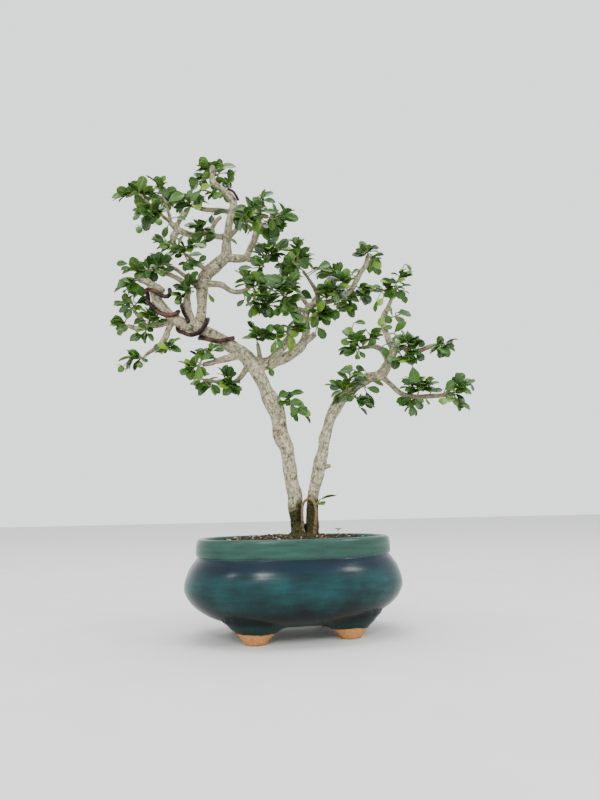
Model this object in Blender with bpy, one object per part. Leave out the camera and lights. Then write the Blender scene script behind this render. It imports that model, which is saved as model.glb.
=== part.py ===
"""Fukien tea bonsai with two trunks, training wire and a glazed oval pot.

Metres, +Z up. The origin lies on the floor under the middle of the pot, X runs along the pot's long
side and -Y is its front. Pot, soil and wire have plain sizes. The tree was set out from one front
view: a route is a list of points (across, down, back, diameter), where across and down are read in
that view's picture, back is how many millimetres the point lies behind the middle of the pot, and
the diameter is in millimetres.
"""
import math
import random

import bmesh
import bpy
from mathutils import Matrix, Vector
from mathutils.bvhtree import BVHTree

MM = 0.001
GAP = 0.3 * MM
SHARP_ANGLE = 50

# The front view: where its eye stands from the middle of the pot, and how it looks
VIEW_EYE = Vector((7.5, -548.0, 104.5)) * MM
VIEW_FOCAL = 600.0
VIEW_MIDDLE = (300.0, 400.0)
VIEW_PITCH = math.radians(10.5)
VIEW_ROLL = math.radians(-1.04)
POT_TURN = math.radians(14.3)

# Pot, in millimetres
RIM_TOP = 82.5
POT_DEPTH_SHARE = 0.69
PLAN_POWER = 2.3
PLAN_POINTS = 24
POT_OUTSIDE = ((12, 50), (14.5, 62), (20, 76.5), (28, 88.3), (37, 94.6), (45, 95.5), (56, 92.2),
               (66.5, 85), (68.5, 85.6), (79.5, 85.6), (RIM_TOP, 82.6))
POT_INSIDE = ((83.5, 83), (81.5, 79), (68, 78.5), (60, 84), (46, 89.5), (30, 80), (20, 64), (17, 52))
FOOT_PLACE = (40, 31)
FOOT_SECTIONS = ((0, 8.5, 6.5), (4, 11.5, 8.5), (8.5, 15.5, 10.5), (13, 20.5, 13), (21, 27, 16.5))
FOOT_POINTS = 8
DRAIN_HOLE = 22
SCREEN_SIDE = 34
SCREEN_THICK = 1.2
SCREEN_HOLES = 2
SCREEN_HOLE = 9
SCREEN_PITCH = 13

# Soil, in millimetres
SOIL_INSET = 0.5
SOIL_EDGE = 79.0
SOIL_CROWN = 83.0
ROOT_MIDDLE = (303.8, 536.0, -1.0)
ROOT_SECTIONS = ((60, 9, 7), (72, 13, 11), (81, 16, 13.5), (85.5, 13.5, 11))
ROOT_POINTS = 12
ROOT_HOLE_SPARE = 0.6

# Trunks, the limbs that grow from them, and their branches
WOOD = {
    "left_trunk": (
        (297.5, 538, 0, 10.6), (296.5, 528, 0, 9.4), (295.8, 519, 0, 9.2), (294.6, 508, 0, 12),
        (294.3, 495, 1, 13.2), (291, 480, 1, 12.8), (288.3, 463, 0, 12.2), (286, 447, -1, 13.2),
        (280.5, 434, -2, 15), (279, 423, -2, 13.4), (277, 412, -3, 15), (271, 400, -4, 15.6),
        (266, 391, -4, 12.4), (261.5, 380, -5, 12.4), (257, 371, -6, 13.2), (251, 362.5, -7, 14),
        (242, 353.5, -8, 12.6), (232, 346.5, -8, 11.8), (221, 340, -8, 11.2), (209.5, 333.5, -8, 10.8),
        (198, 328.5, -8, 10.4), (185, 325, -8, 10.2), (174, 318.5, -9, 9.8), (166, 311.5, -10, 9.8),
        (160, 306, -10, 10), (156.5, 300, -10, 9.8), (154.5, 292, -10, 8.4)),
    "right_trunk": (
        (312.5, 538, -3, 11.6), (312.5, 528, -3, 11), (312, 519, -3, 10.4), (312, 508, -3, 9.8),
        (313, 495, -3, 9.6), (316, 480, -1, 10.6), (319, 467, 0, 11.8), (323, 451, 2, 10.2),
        (325, 438, 3, 10.2), (327.5, 428, 3, 9), (331, 418, 4, 9.6), (335.5, 409, 5, 11.2),
        (341.5, 400, 6, 10.8), (349, 391, 7, 9), (358, 383, 8, 8.4), (367, 377.5, 8, 8.6),
        (379, 376, 8, 10), (385, 369.5, 8, 9.8), (389.5, 361, 8, 8.4), (392, 353, 8, 8.8), (397, 344, 8, 7)),
    "spur": ((324, 467, 0, 5), (331, 465.5, 0, 2.6)),
    "arched_root": (
        (303.5, 538, -6, 3), (302.2, 515, -7, 2.8), (303, 504, -7.5, 2.8), (307.5, 499, -9, 2.8),
        (312.5, 500.5, -10, 2.8), (315.5, 507, -10.5, 2.8), (316, 520, -9.5, 2.9), (313.5, 538, -6.5, 3)),
    "leader": (
        (199, 329, -8, 9.4), (201.5, 309, -7, 9.2), (202, 294, -6, 10.8), (203, 281, -5, 11.6),
        (209, 271.5, -4, 12.6), (218, 264, -3, 11.8), (225.5, 256, -3, 10.2), (226.5, 246, -4, 8.6),
        (228, 234, -5, 7.4), (229.5, 223, -6, 7), (232, 213, -7, 7.4), (233.5, 203, -8, 7.8),
        (230, 196.5, -9, 7), (220.5, 188.5, -10, 5.4), (213, 182, -10, 5.6), (212.5, 166.5, -9, 5)),
    "bough": (
        (227, 258, -3, 7.6), (238, 258.5, 0, 7.4), (246, 257, 3, 7), (250.5, 248.5, 6, 6.4),
        (254.5, 240, 9, 6.2), (257, 231, 12, 5.6), (263.5, 223.5, 14, 3.6)),
    "bough_right": ((243, 258, 1, 4.4), (252, 260.5, -6, 3.8), (261, 258, -12, 3)),
    "top_right": ((231, 214, -7, 5.4), (245, 213, -10, 5), (258, 214.5, -12, 4.6), (268, 217, -13, 3.4)),
    "top_left": ((231, 212.5, -7, 4.8), (219, 210, -2, 4.4), (207, 210, 3, 4.4), (195, 207.5, 7, 3.4)),
    "side_left": (
        (226.5, 236, -5, 5.4), (217, 236.5, -8, 5), (207, 232.5, -11, 4.8), (195, 235, -14, 5),
        (185, 233, -16, 5.6), (176, 228.5, -18, 6), (170, 222, -18, 4.2)),
    "side_knob": ((178, 230, -17, 5.4), (173.5, 236, -18, 6.6), (173, 244, -18, 4.4)),
    "side_stub": ((175.5, 228, -18, 4.8), (180, 219.5, -20, 4.8), (184, 212, -21, 4.6)),
    "curved_stub": (
        (208, 233, -11, 4.2), (213, 226.5, -15, 4), (216, 221, -17, 3.8), (221.5, 216.5, -18, 3)),
    "twig_up": ((171, 223, -18, 3.2), (169, 214, -17, 2.7), (166, 205, -15, 2.3), (163, 197, -13, 2)),
    "twig_far": (
        (171, 222.5, -18, 3.2), (160, 214, -21, 2.7), (149, 203.5, -25, 2.3), (144, 199, -26, 2)),
    "riser": (
        (192.5, 326, -8, 7), (188.5, 312, -5, 7), (186.5, 300, -2, 6.6), (188, 290, 2, 5.8),
        (184, 283, 6, 5), (175, 277, 10, 4.8), (165, 273, 13, 4.2), (153, 271.5, 16, 3)),
    "limb_tip": (
        (155.2, 295, -10, 7.4), (150.5, 284.5, -11, 6.6), (145, 281.5, -12, 5.4), (139, 281, -12, 3.4)),
    "limb_fore": ((151, 285, -11, 5.6), (157, 287, -13.5, 6.2), (163, 291, -16, 5.8)),
    "low_left": (
        (179, 321, -8, 7), (168, 322, -5, 6.4), (158, 324.5, -2, 5.8), (148, 326.5, 1, 5.4),
        (138, 329, 4, 4.8), (128, 325.5, 7, 3.2)),
    "low_left_up": ((146, 326.5, 2, 4.2), (140.5, 318, 5, 4), (134, 311, 8, 3)),
    "low_left_down": (
        (173, 322, -7, 4.8), (168, 330, -10, 4.8), (165.5, 338, -13, 5.8), (159, 346.5, -16, 4.6),
        (150, 352, -19, 3.2), (145, 355.5, -20, 2.4)),
    "inner_right": (
        (203.5, 284, -5, 6.4), (214, 284, -12, 6.2), (222, 285, -17, 5.2), (231, 291, -22, 4.6),
        (240, 292, -27, 4.2), (249, 288.5, -31, 3.2)),
    "cross_branch": (
        (254, 366, -6, 10.4), (262, 364.5, -4, 11.4), (271.5, 362.6, 0, 11.4), (282.5, 359, 5, 10.4),
        (292, 354, 9, 9.8), (299.5, 348, 12, 9.2), (304.5, 341, 14, 8.4), (306, 330, 15, 7.4),
        (306, 320, 16, 6.8), (306.5, 310, 17, 6.2), (313, 304.5, 17, 6), (323, 303, 16, 5.4),
        (333, 300.5, 15, 5), (343, 296.5, 14, 5), (351, 290, 13, 5), (356.5, 280, 13, 5)),
    "cross_end": ((356.5, 281, 13, 4.8), (361, 272, 12, 5), (366, 264.5, 11, 5), (367.5, 255, 9, 2.8)),
    "cross_stub": ((302, 345, 13, 5.6), (309, 339.5, 10, 5.4), (315.5, 333.5, 8, 5)),
    "cross_up": ((308, 306, 17, 4.8), (303, 299, 22, 4.2), (298, 291.5, 27, 3.4), (293, 285, 31, 2.8)),
    "cross_left": ((306, 311, 16, 4.8), (296, 308.5, 10, 4), (285, 308, 4, 3.2), (274, 306, -3, 2.6)),
    "crown_stem": ((320, 303.5, 16, 4.6), (316, 291, 9, 3.8), (309, 279.5, 1, 3), (303, 271, -5, 2.4)),
    "fore_stem": ((306, 322, 15, 4.6), (299, 314, 2, 4), (292, 306, -12, 3.2), (286, 299, -25, 2.6)),
    "rear_stem": ((307, 314, 17, 4.8), (314, 301, 31, 4.2), (323, 289, 44, 3.4), (331, 278, 54, 2.6)),
    "pale_branch": (
        (270, 362, 0, 8.2), (279.5, 351, -7, 8), (286, 342.5, -12, 7.4), (291.5, 334.5, -16, 6.4)),
    "low_front": (
        (244, 353.5, -8, 7.4), (232, 357, -14, 6.4), (221, 360, -19, 5.6), (211, 363, -24, 4.6),
        (203, 364.5, -28, 3.4)),
    "low_rear": (
        (249, 364, -7, 6), (243, 374, -2, 4.8), (236, 381, 4, 4.2), (225, 384, 10, 3.6),
        (213, 381, 15, 3), (205, 379.5, 18, 2.4)),
    "short_twig": ((261, 363, -5, 4.4), (259, 352, -12, 3.8), (257.5, 343, -17, 3)),
    "fore_left": (
        (208, 272, -5, 4.6), (199, 264.5, -16, 3.8), (191, 258.5, -27, 3.2), (186, 254, -33, 2.4)),
    "rear_left": ((201, 291, -6, 5.6), (191, 281, 7, 4.4), (177, 270, 18, 3.6), (163, 263, 26, 2.6)),
    "rear_top": ((226, 241, -4, 5.2), (234, 232, 11, 4.4), (241, 223, 25, 3.4), (247, 215.5, 35, 2.6)),
    "mid_left": (
        (388.5, 361, 8, 6.4), (383.5, 352, 4, 5.6), (378, 347.5, 0, 4.8), (370, 346.5, -5, 4),
        (363, 348, -9, 3)),
    "up_right": (
        (394, 350, 8, 6.6), (388, 338, 12, 6), (383.5, 326.5, 16, 5.6), (384, 316, 19, 6),
        (388, 308, 22, 4.2), (391, 300, 24, 3.4), (393.5, 292, 26, 2.6)),
    "mid_right": (
        (396, 346, 8, 6.4), (403, 347, 2, 5.8), (411, 352.5, -5, 5.2), (420, 350.5, -13, 4.6),
        (430, 346.5, -21, 4), (441, 344.5, -28, 3)),
    "low_right": (
        (382, 376.5, 8, 5.6), (390, 383.5, 9, 4.6), (398, 391, 10, 4.6), (406, 395.5, 10, 4.8),
        (418, 397, 10, 4.6), (431, 396, 9, 4.2), (443, 395, 8, 3.6), (450, 390, 8, 2.8)),
    "low_rear_right": (
        (374, 377, 8, 5.6), (366, 382.5, 1, 4.8), (358, 387, -5, 4), (351, 391, -9, 3)),
}
TRUNK_SIDES = 6
BRANCH_SIDES = 5
TWIG_SIDES = 4
TRUNK_LEAST = 7.2
BRANCH_LEAST = 5.5

# Training wires: route points (across, down, back), each pushed off the bark of the wood under it
WIRE_SIDES = 5
WIRE_STEP = 3.6
WIRE_SPARE = 0.25
WIRE_ROUNDS = 3
WIRED_WOOD = (
    "left_trunk", "leader", "riser", "limb_tip", "limb_fore", "low_left", "low_left_down", "top_right")
WIRES = {
    "training_wire": (4.2, (
        (233.5, 338, -14), (226, 340, -15.5), (216, 341, -14.5), (207.5, 338.5, -12), (202.5, 335, -8),
        (201, 329, -1), (204, 322.5, -1), (207.5, 319, -6), (206.5, 323.5, -12.5), (203, 328.5, -15),
        (198, 333, -14), (191, 335, -12.5), (184, 333, -10), (179, 329, -6), (177, 322, -1),
        (177, 315, -2), (178, 312, -7), (176, 315, -13), (170, 315.5, -16), (162, 314, -16.5),
        (155.5, 310, -15),
        (150.5, 304, -12.5), (148, 297.5, -9), (149, 291, -11.5), (152, 290.5, -16), (157, 292.5, -18),
        (162, 295.5, -19.5), (167, 296.5, -19.5), (170, 293.5, -17), (169.5, 289.5, -14))),
    "riser_wire": (3.6, (
        (188.5, 322, -14), (186, 317, -12.5), (183, 311, -9.5), (182.5, 306.5, -5), (184.5, 303, 0),
        (188, 300.5, 2.5))),
    "upper_wire": (2.6, ((228, 189.5, -12), (232.5, 191, -13), (236, 195.5, -13), (238.5, 200.5, -11))),
}

# Leafy shoots. Each spray is one node: the branch it grows from, the point of that branch in the
# front view, and its shoots, each given by its tip (across, down, back) and its number of leaves.
SPRAYS = {
    "apex_top": ("leader", (212.5, 173), ((219.5, 168.5, -3, 3), (206, 169, -15, 3), (198, 182, -20, 3))),
    "apex_right": ("leader", (224, 191), ((228, 179, 2, 3), (214, 194, -26, 2))),
    "crown_left": ("top_left", (195, 207.5), ((179, 202, 12, 4), (197, 198, -4, 2))),
    "high_left": ("twig_up", (163, 197), ((158, 184, -10, 4), (167, 201, 0, 2))),
    "far_left": ("twig_far", (144, 199), ((125, 196, -31, 3), (138, 191, -22, 3), (150, 194, -14, 2))),
    "far_left_low": ("twig_far", (155, 209), ((146, 218, -36, 4), (157, 214, -38, 2))),
    "knob_spray": ("side_knob", (173, 243), ((165, 243, -24, 4),)),
    "inner_left": ("side_left", (203, 234), ((198, 228, -24, 4), (206, 245, -24, 2))),
    "fore_left_spray": ("fore_left", (186, 254),
        ((178, 249, -46, 3), (190, 246, -46, 2), (190, 266, -42, 2))),
    "top_right_end": ("top_right", (268, 217), ((285, 215, -15, 4), (263, 203, -18, 2))),
    "top_right_low": ("top_right", (248, 213), ((245, 223, -24, 4), (256, 224, -20, 2))),
    "bough_spray": ("bough", (263, 223.5), ((272, 229, 18, 4), (278, 222, 10, 2))),
    "bough_right_spray": ("bough_right", (261, 258),
        ((269, 248, -20, 3), (279, 251, -26, 3), (263, 267, -28, 3))),
    "rear_top_spray": ("rear_top", (247, 215), ((257, 209, 48, 4), (247, 224, 50, 2))),
    "crown_spray": ("crown_stem", (303, 271), ((299, 243, -10, 3), (303, 259, 6, 3), (287, 266, -16, 3))),
    "fore_spray": ("fore_stem", (286, 299), ((276, 287, -46, 3), (290, 284, -46, 3), (289, 313, -40, 3))),
    "rear_spray": ("rear_stem", (331, 278), ((324, 269, 60, 4), (340, 273, 60, 2))),
    "cross_top": ("cross_branch", (327, 302), ((327, 290, 2, 4), (336, 291, -6, 2))),
    "cross_low": ("cross_branch", (318, 304), ((327, 315, 6, 4), (317, 318, -2, 2))),
    "cross_low_right": ("cross_branch", (344, 296), ((346, 308, 24, 4),)),
    "cross_crown": ("cross_branch", (349, 291.5), ((343, 280, 4, 4),)),
    "cross_tip": ("cross_end", (367.5, 255), ((367, 251, 5, 4), (374, 266, 4, 2))),
    "cross_side": ("cross_branch", (354, 285), ((362, 295, 16, 3),)),
    "cross_up_spray": ("cross_up", (293, 285), ((281, 276, 36, 4), (293, 270, 38, 2))),
    "cross_left_spray": ("cross_left", (274, 306), ((258, 303, -10, 4), (264, 295, -14, 2))),
    "inner_right_spray": ("inner_right", (249, 288.5),
        ((261, 282, -38, 3), (256, 296, -38, 3), (243, 276, -34, 3))),
    "riser_spray": ("riser", (153, 271.5), ((134, 269, 18, 3), (142, 274, 24, 3), (160, 266, 4, 3))),
    "riser_low": ("riser", (186.5, 296), ((189, 284, -10, 3), (181, 296, -12, 2))),
    "limb_spray": ("limb_tip", (139, 281), ((131, 287, -12, 4),)),
    "rear_left_spray": ("rear_left", (163, 263), ((148, 267, 30, 4), (162, 258, 30, 2))),
    "low_left_tip": ("low_left", (128, 325.5), ((121, 323, 9, 4),)),
    "low_left_high": ("low_left_up", (134, 311), ((126, 304, 12, 4), (139, 301, 4, 2))),
    "low_left_mid": ("low_left", (152, 326), ((152, 316, -8, 4), (144, 336, -10, 2))),
    "low_left_hang": ("low_left_down", (145, 355.5), ((133, 357, -23, 4),)),
    "low_left_inner": ("low_left_down", (161, 344), ((170, 351, -25, 4),)),
    "low_front_spray": ("low_front", (203, 364.5), ((191, 369, -34, 4), (207, 351, -32, 2))),
    "low_rear_spray": ("low_rear", (205, 379.5), ((195, 379, 21, 3), (211, 387, 26, 2))),
    "low_rear_mid": ("low_rear", (231, 382.5), ((231, 385, 4, 4), (224, 376, 0, 2))),
    "short_spray": ("short_twig", (257.5, 343), ((256, 332, -21, 4), (267, 335, -24, 2))),
    "pale_spray": ("pale_branch", (291, 335), ((296, 326, -22, 4), (280, 337, -26, 2))),
    "trunk_spray": ("left_trunk", (274, 400), ((297, 413, -8, 4),)),
    "up_right_spray": ("up_right", (393.5, 292),
        ((402, 271, 30, 3), (382, 291, 18, 3), (401, 294, 34, 2))),
    "up_right_low": ("up_right", (384, 317), ((401, 314, 20, 3),)),
    "up_right_foot": ("up_right", (387, 335), ((400, 338, 13, 4),)),
    "mid_left_spray": ("mid_left", (363, 348),
        ((353, 349, -12, 3), (352, 338, -16, 3), (371, 337, -8, 3))),
    "mid_right_spray": ("mid_right", (441, 344.5), ((441, 348.5, -34, 4),)),
    "mid_right_low": ("mid_right", (410, 352), ((407, 342, -18, 3), (402, 360, -16, 2))),
    "low_right_top": ("low_right", (417, 397), ((414, 381, 0, 4), (426, 386, 2, 2))),
    "low_right_under": ("low_right", (411, 396.5), ((411, 404.5, 12, 4),)),
    "low_right_spray": ("low_right", (450, 390), ((463, 386, 8, 4), (456, 403, 8, 3))),
    "low_rear_right_spray": ("low_rear_right", (351, 391),
        ((339, 388, -14, 3), (350, 375, -16, 3), (363, 403, -16, 3))),
    "trunk_foot_spray": ("right_trunk", (312, 503), ((320, 499.5, -9, 2),)),
}
SHOOT_START = 2.2
SHOOT_END = 1.8
SHOOT_SIDES = 3
END_REACH = 1.5
BARK_REACH = 12
SHOOT_FORK = 0.85
SHOOT_KNEE = 0.35
SHOOT_BENDS = (0, 6, -6, 12, -12, 18, -18, 24, -24)

# Leaves, in millimetres and degrees
LEAF_SEED = 41
LEAF_LENGTH = (11.5, 16.5)
LEAF_WIDTH_SHARE = (0.56, 0.7)
LEAF_THICK = 0.7
LEAF_FOLD = 0.22
LEAF_ARCH = (0.05, 0.22)
LEAF_SPREAD = (78, 28)
LEAF_FLAT = 0.55
LEAF_RISE = 0.14
LEAF_PLACES = (0.35, 0.94)
LEAF_TURN = 137.5
LEAF_TRIES = 24
LEAF_FOOT = 0.14
LEAF_CLEAR = 0.5
TOOTHED_SHARE = 0.1

# Both kinds of blade: points round the leaf from its foot, as shares of its length and half width,
# and the flat faces between them
ROUND_LEAF = ((0, 0), (0.55, 0.96), (1.0, 0.5), (1.0, -0.5), (0.55, -0.96))
ROUND_BLADE = ((0, 1, 4), (1, 2, 3, 4))
TOOTHED_LEAF = (
    (0, 0), (0.45, 0.84), (0.92, 0.9), (0.84, 0.4), (1.0, 0), (0.84, -0.4), (0.92, -0.9), (0.45, -0.84))
TOOTHED_BLADE = ((0, 1, 7), (1, 2, 3), (1, 3, 5, 7), (3, 4, 5), (5, 6, 7))

# Berries: the spray, the berry's place in the front view (across, down, back) and its diameter
BERRIES = (
    ("apex_right", (230, 172, 4), 5.8), ("far_left_low", (139, 230, -42), 6),
    ("far_left_low", (159, 222, -44), 6.4), ("low_left_hang", (121, 369, -25), 6),
    ("low_left_hang", (140, 365, -27), 5.6), ("riser_low", (177, 302, -20), 5),
    ("crown_spray", (301, 243, -8), 5))
STALK = 1.1
STALK_RISE = 1.0
STALK_STARTS = (0.55, 0.8, 0.97)


def clear_scene():
    """Empty the scene and drop what is left of meshes and materials."""
    for thing in list(bpy.data.objects):
        bpy.data.objects.remove(thing, do_unlink=True)
    for mesh in list(bpy.data.meshes):
        bpy.data.meshes.remove(mesh)
    for material in list(bpy.data.materials):
        bpy.data.materials.remove(material)


def finish_of(name, colour, roughness, metallic=0.0):
    """A plain material with the part's colour."""
    material = bpy.data.materials.new(name)
    material.use_nodes = True
    shader = material.node_tree.nodes["Principled BSDF"]
    shader.inputs["Base Color"].default_value = (*colour, 1.0)
    shader.inputs["Roughness"].default_value = roughness
    shader.inputs["Metallic"].default_value = metallic
    return material


def solid(name, points, faces, material=None):
    """One object from points and faces, with its faces turned outwards."""
    mesh = bpy.data.meshes.new(name)
    mesh.from_pydata([tuple(p) for p in points], [], faces)
    work = bmesh.new()
    work.from_mesh(mesh)
    bmesh.ops.recalc_face_normals(work, faces=work.faces)
    work.to_mesh(mesh)
    work.free()
    thing = bpy.data.objects.new(name, mesh)
    bpy.context.scene.collection.objects.link(thing)
    if material:
        mesh.materials.append(material)
    return thing


def view_axes():
    """The front view's right, up and ahead directions."""
    right = Vector((1, 0, 0))
    ahead = Vector((0, math.cos(VIEW_PITCH), math.sin(VIEW_PITCH)))
    up = right.cross(ahead)
    leaning = math.cos(VIEW_ROLL) * right + math.sin(VIEW_ROLL) * up
    return leaning, leaning.cross(ahead), ahead


RIGHT, UP, AHEAD = view_axes()
TO_POT = Matrix.Rotation(-POT_TURN, 3, "Z")


def seen(across, down, back):
    """The point of the model that the front view shows there, at that depth."""
    ray = AHEAD * VIEW_FOCAL + RIGHT * (across - VIEW_MIDDLE[0]) + UP * (VIEW_MIDDLE[1] - down)
    reach = (back * MM - VIEW_EYE.y) / ray.y
    return TO_POT @ (VIEW_EYE + ray * reach)


def traced(route):
    """A route's points and radii."""
    return [seen(*entry[:3]) for entry in route], [entry[3] * MM / 2 for entry in route]


def tube_shape(points, radii, sides, turn=0.0):
    """Points and faces of a tube with flat ends that follows the points."""
    shape = []
    side = None
    for number, point in enumerate(points):
        before = points[max(number - 1, 0)]
        after = points[min(number + 1, len(points) - 1)]
        along = (after - before).normalized()
        if side is None:
            side = along.cross(Vector((0.31, 0.17, 0.94))).normalized()
        side = (side - along * side.dot(along)).normalized()
        up = along.cross(side)
        for step in range(sides):
            angle = turn + 2 * math.pi * step / sides
            shape.append(point + (side * math.cos(angle) + up * math.sin(angle)) * radii[number])
    faces = []
    for ring in range(len(points) - 1):
        for step in range(sides):
            here = ring * sides + step
            there = ring * sides + (step + 1) % sides
            faces.append((here, there, there + sides, here + sides))
    faces.append(tuple(reversed(range(sides))))
    faces.append(tuple(range(len(shape) - sides, len(shape))))
    return shape, faces


def joined(base, others):
    """Fuse the other objects into the base with one union, then remove them."""
    group = bpy.data.collections.new(base.name + "_pieces")
    for thing in others:
        group.objects.link(thing)
    union = base.modifiers.new("union", "BOOLEAN")
    union.operation = "UNION"
    union.solver = "EXACT"
    union.operand_type = "COLLECTION"
    union.collection = group
    keep_result(base)
    for thing in others:
        bpy.data.objects.remove(thing, do_unlink=True)
    bpy.data.collections.remove(group)
    return base


def cut(base, tool):
    """Take the tool away from the base, then remove it."""
    difference = base.modifiers.new("cut", "BOOLEAN")
    difference.operation = "DIFFERENCE"
    difference.solver = "EXACT"
    difference.object = tool
    keep_result(base)
    bpy.data.objects.remove(tool, do_unlink=True)
    return base


def keep_result(thing):
    """Apply every modifier of an object to its mesh."""
    bpy.context.view_layer.update()
    evaluated = thing.evaluated_get(bpy.context.evaluated_depsgraph_get())
    result = bpy.data.meshes.new_from_object(evaluated)
    old = thing.data
    thing.modifiers.clear()
    thing.data = result
    bpy.data.meshes.remove(old)
    result.name = thing.name


def plan_ring(half_long, half_deep, height, count, power=PLAN_POWER, middle=(0, 0)):
    """A closed ring of points on the pot's squared oval plan, in millimetres."""
    ring = []
    for step in range(count):
        angle = 2 * math.pi * step / count
        across = math.copysign(abs(math.cos(angle)) ** (2 / power), math.cos(angle))
        deep = math.copysign(abs(math.sin(angle)) ** (2 / power), math.sin(angle))
        ring.append(Vector((middle[0] + half_long * across, middle[1] + half_deep * deep, height)) * MM)
    return ring


def lofted(name, rings, material=None):
    """A solid through rings of equal count, with both ends closed."""
    count = len(rings[0])
    points = [p for ring in rings for p in ring]
    faces = []
    for level in range(len(rings) - 1):
        for step in range(count):
            here = level * count + step
            there = level * count + (step + 1) % count
            faces.append((here, there, there + count, here + count))
    faces.append(tuple(reversed(range(count))))
    faces.append(tuple(range(len(points) - count, len(points))))
    return solid(name, points, faces, material)


def prism(name, ring, height):
    """A straight prism over a ring, of that height in millimetres."""
    top = [p + Vector((0, 0, height * MM)) for p in ring]
    return lofted(name, [ring, top])


def pot_rings(profile, inset=0.0):
    """Rings of the pot's plan up or down a profile of heights and half lengths."""
    rings = []
    for height, half_long in profile:
        half_deep = half_long * POT_DEPTH_SHARE - inset
        rings.append(plan_ring(half_long - inset, half_deep, height, PLAN_POINTS))
    return rings


def make_pot(material):
    """The bowl with its rolled rim, four low feet and the drain hole."""
    pot = lofted("pot", pot_rings(POT_OUTSIDE), material)
    feet = []
    for side in (-1, 1):
        for front in (-1, 1):
            middle = (side * FOOT_PLACE[0], front * FOOT_PLACE[1])
            sections = []
            for height, half_long, half_deep in FOOT_SECTIONS:
                sections.append(plan_ring(half_long, half_deep, height, FOOT_POINTS, 2.0, middle))
            feet.append(lofted("foot", sections))
    joined(pot, feet)
    cut(pot, lofted("room", pot_rings(POT_INSIDE)))
    return cut(pot, prism("drain", plan_ring(DRAIN_HOLE / 2, DRAIN_HOLE / 2, 8, 12, 2.0), 14))


def make_screen(material):
    """The plastic mesh that lies over the drain hole inside the pot."""
    half = SCREEN_SIDE / 2
    floor = POT_INSIDE[-1][0] + GAP / MM
    corners = ((-half, -half), (half, -half), (half, half), (-half, half))
    base = [Vector((x, y, floor)) * MM for x, y in corners]
    screen = prism("drain_screen", base, SCREEN_THICK)
    screen.data.materials.append(material)
    places = [(number - (SCREEN_HOLES - 1) / 2) * SCREEN_PITCH for number in range(SCREEN_HOLES)]
    share = SCREEN_HOLE / SCREEN_SIDE
    for left in places:
        for ahead in places:
            ring = [Vector((left + x * share, ahead + y * share, floor - 1)) * MM for x, y in corners]
            cut(screen, prism("mesh_hole", ring, SCREEN_THICK + 2))
    return screen


def make_soil(material, root_middle):
    """The root ball: it fills the pot, with a hole for the foot of the tree."""
    walls = [(height, half) for height, half in reversed(POT_INSIDE) if height < SOIL_EDGE]
    walls[0] = (walls[0][0] + SOIL_INSET, walls[0][1])
    rings = pot_rings(walls, SOIL_INSET)
    half = walls[-1][1]
    for share, height in ((1, SOIL_EDGE), (0.8, SOIL_EDGE + 1.2), (0.45, SOIL_CROWN)):
        rings += pot_rings([(height, half * share)], SOIL_INSET)
    soil = lofted("soil", rings, material)
    hole = root_sections(root_middle, ROOT_HOLE_SPARE)
    cut(soil, lofted("root_hole", hole))
    half = SCREEN_SIDE / 2 + SOIL_INSET
    floor = POT_INSIDE[-1][0] * MM
    corners = ((-half, -half), (half, -half), (half, half), (-half, half))
    ring = [Vector((x * MM, y * MM, floor - 2 * MM)) for x, y in corners]
    return cut(soil, prism("screen_room", ring, 2 + GAP / MM + SCREEN_THICK + SOIL_INSET))


def root_sections(middle, spare=0.0):
    """Rings of the root base that both trunks grow from."""
    rings = []
    for number, (height, half_long, half_deep) in enumerate(ROOT_SECTIONS):
        level = height - spare if number == 0 else height
        ring = plan_ring(half_long + spare, half_deep + spare, level, ROOT_POINTS, 2.0)
        rings.append([p + middle for p in ring])
    return rings


def sides_for(route):
    """Thick wood has more sides than thin wood."""
    thickest = max(entry[3] for entry in route)
    if thickest > TRUNK_LEAST and len(route) > 3:
        return TRUNK_SIDES
    return BRANCH_SIDES if thickest > BRANCH_LEAST else TWIG_SIDES


def make_tree(material, root_middle):
    """Both trunks with their root base, limbs, branches and pruned stubs, grown as one.
    Returns the shapes of the wood too."""
    tree = lofted("tree", root_sections(root_middle), material)
    pieces = []
    shapes = []
    for name, route in WOOD.items():
        points, radii = traced(route)
        shape = tube_shape(points, radii, sides_for(route), turn=0.2)
        shapes.append(shape)
        pieces.append(solid(name, *shape))
    return joined(tree, pieces), shapes


def on_route(route, across, down):
    """The point and direction of a route nearest to that place in the front view."""
    best = None
    for first, second in zip(route, route[1:]):
        run = (second[0] - first[0], second[1] - first[1])
        length = run[0] ** 2 + run[1] ** 2
        share = ((across - first[0]) * run[0] + (down - first[1]) * run[1]) / length
        share = min(max(share, 0.0), 1.0)
        place = [a + (b - a) * share for a, b in zip(first, second)]
        miss = math.hypot(place[0] - across, place[1] - down)
        if best is None or miss < best[0]:
            best = (miss, place, first, second)
    _, place, first, second = best
    along = (seen(*second[:3]) - seen(*first[:3])).normalized()
    return seen(*place[:3]), along


def eased(keys, share):
    """A smooth curve through the keys, read at a share from 0 to 1."""
    reach = share * (len(keys) - 1)
    number = min(int(reach), len(keys) - 2)
    t = reach - number
    near = [keys[min(max(number + step, 0), len(keys) - 1)] for step in (-1, 0, 1, 2)]
    value = []
    for a, b, c, d in zip(*near):
        bend = 2 * a - 5 * b + 4 * c - d
        twist = 3 * b - a - 3 * c + d
        value.append(b + 0.5 * ((c - a) * t + bend * t ** 2 + twist * t ** 3))
    return value


def off_bark(point, reach):
    """The point, moved straight away from any limb whose bark is nearer than the reach."""
    for name in WIRED_WOOD:
        points, radii = traced(WOOD[name])
        for start, end, thick, thin in zip(points, points[1:], radii, radii[1:]):
            run = end - start
            share = min(max((point - start).dot(run) / run.length_squared, 0.0), 1.0)
            middle = start.lerp(end, share)
            room = thick + (thin - thick) * share + reach
            if (point - middle).length < room:
                point = middle + (point - middle).normalized() * room
    return point


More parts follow.
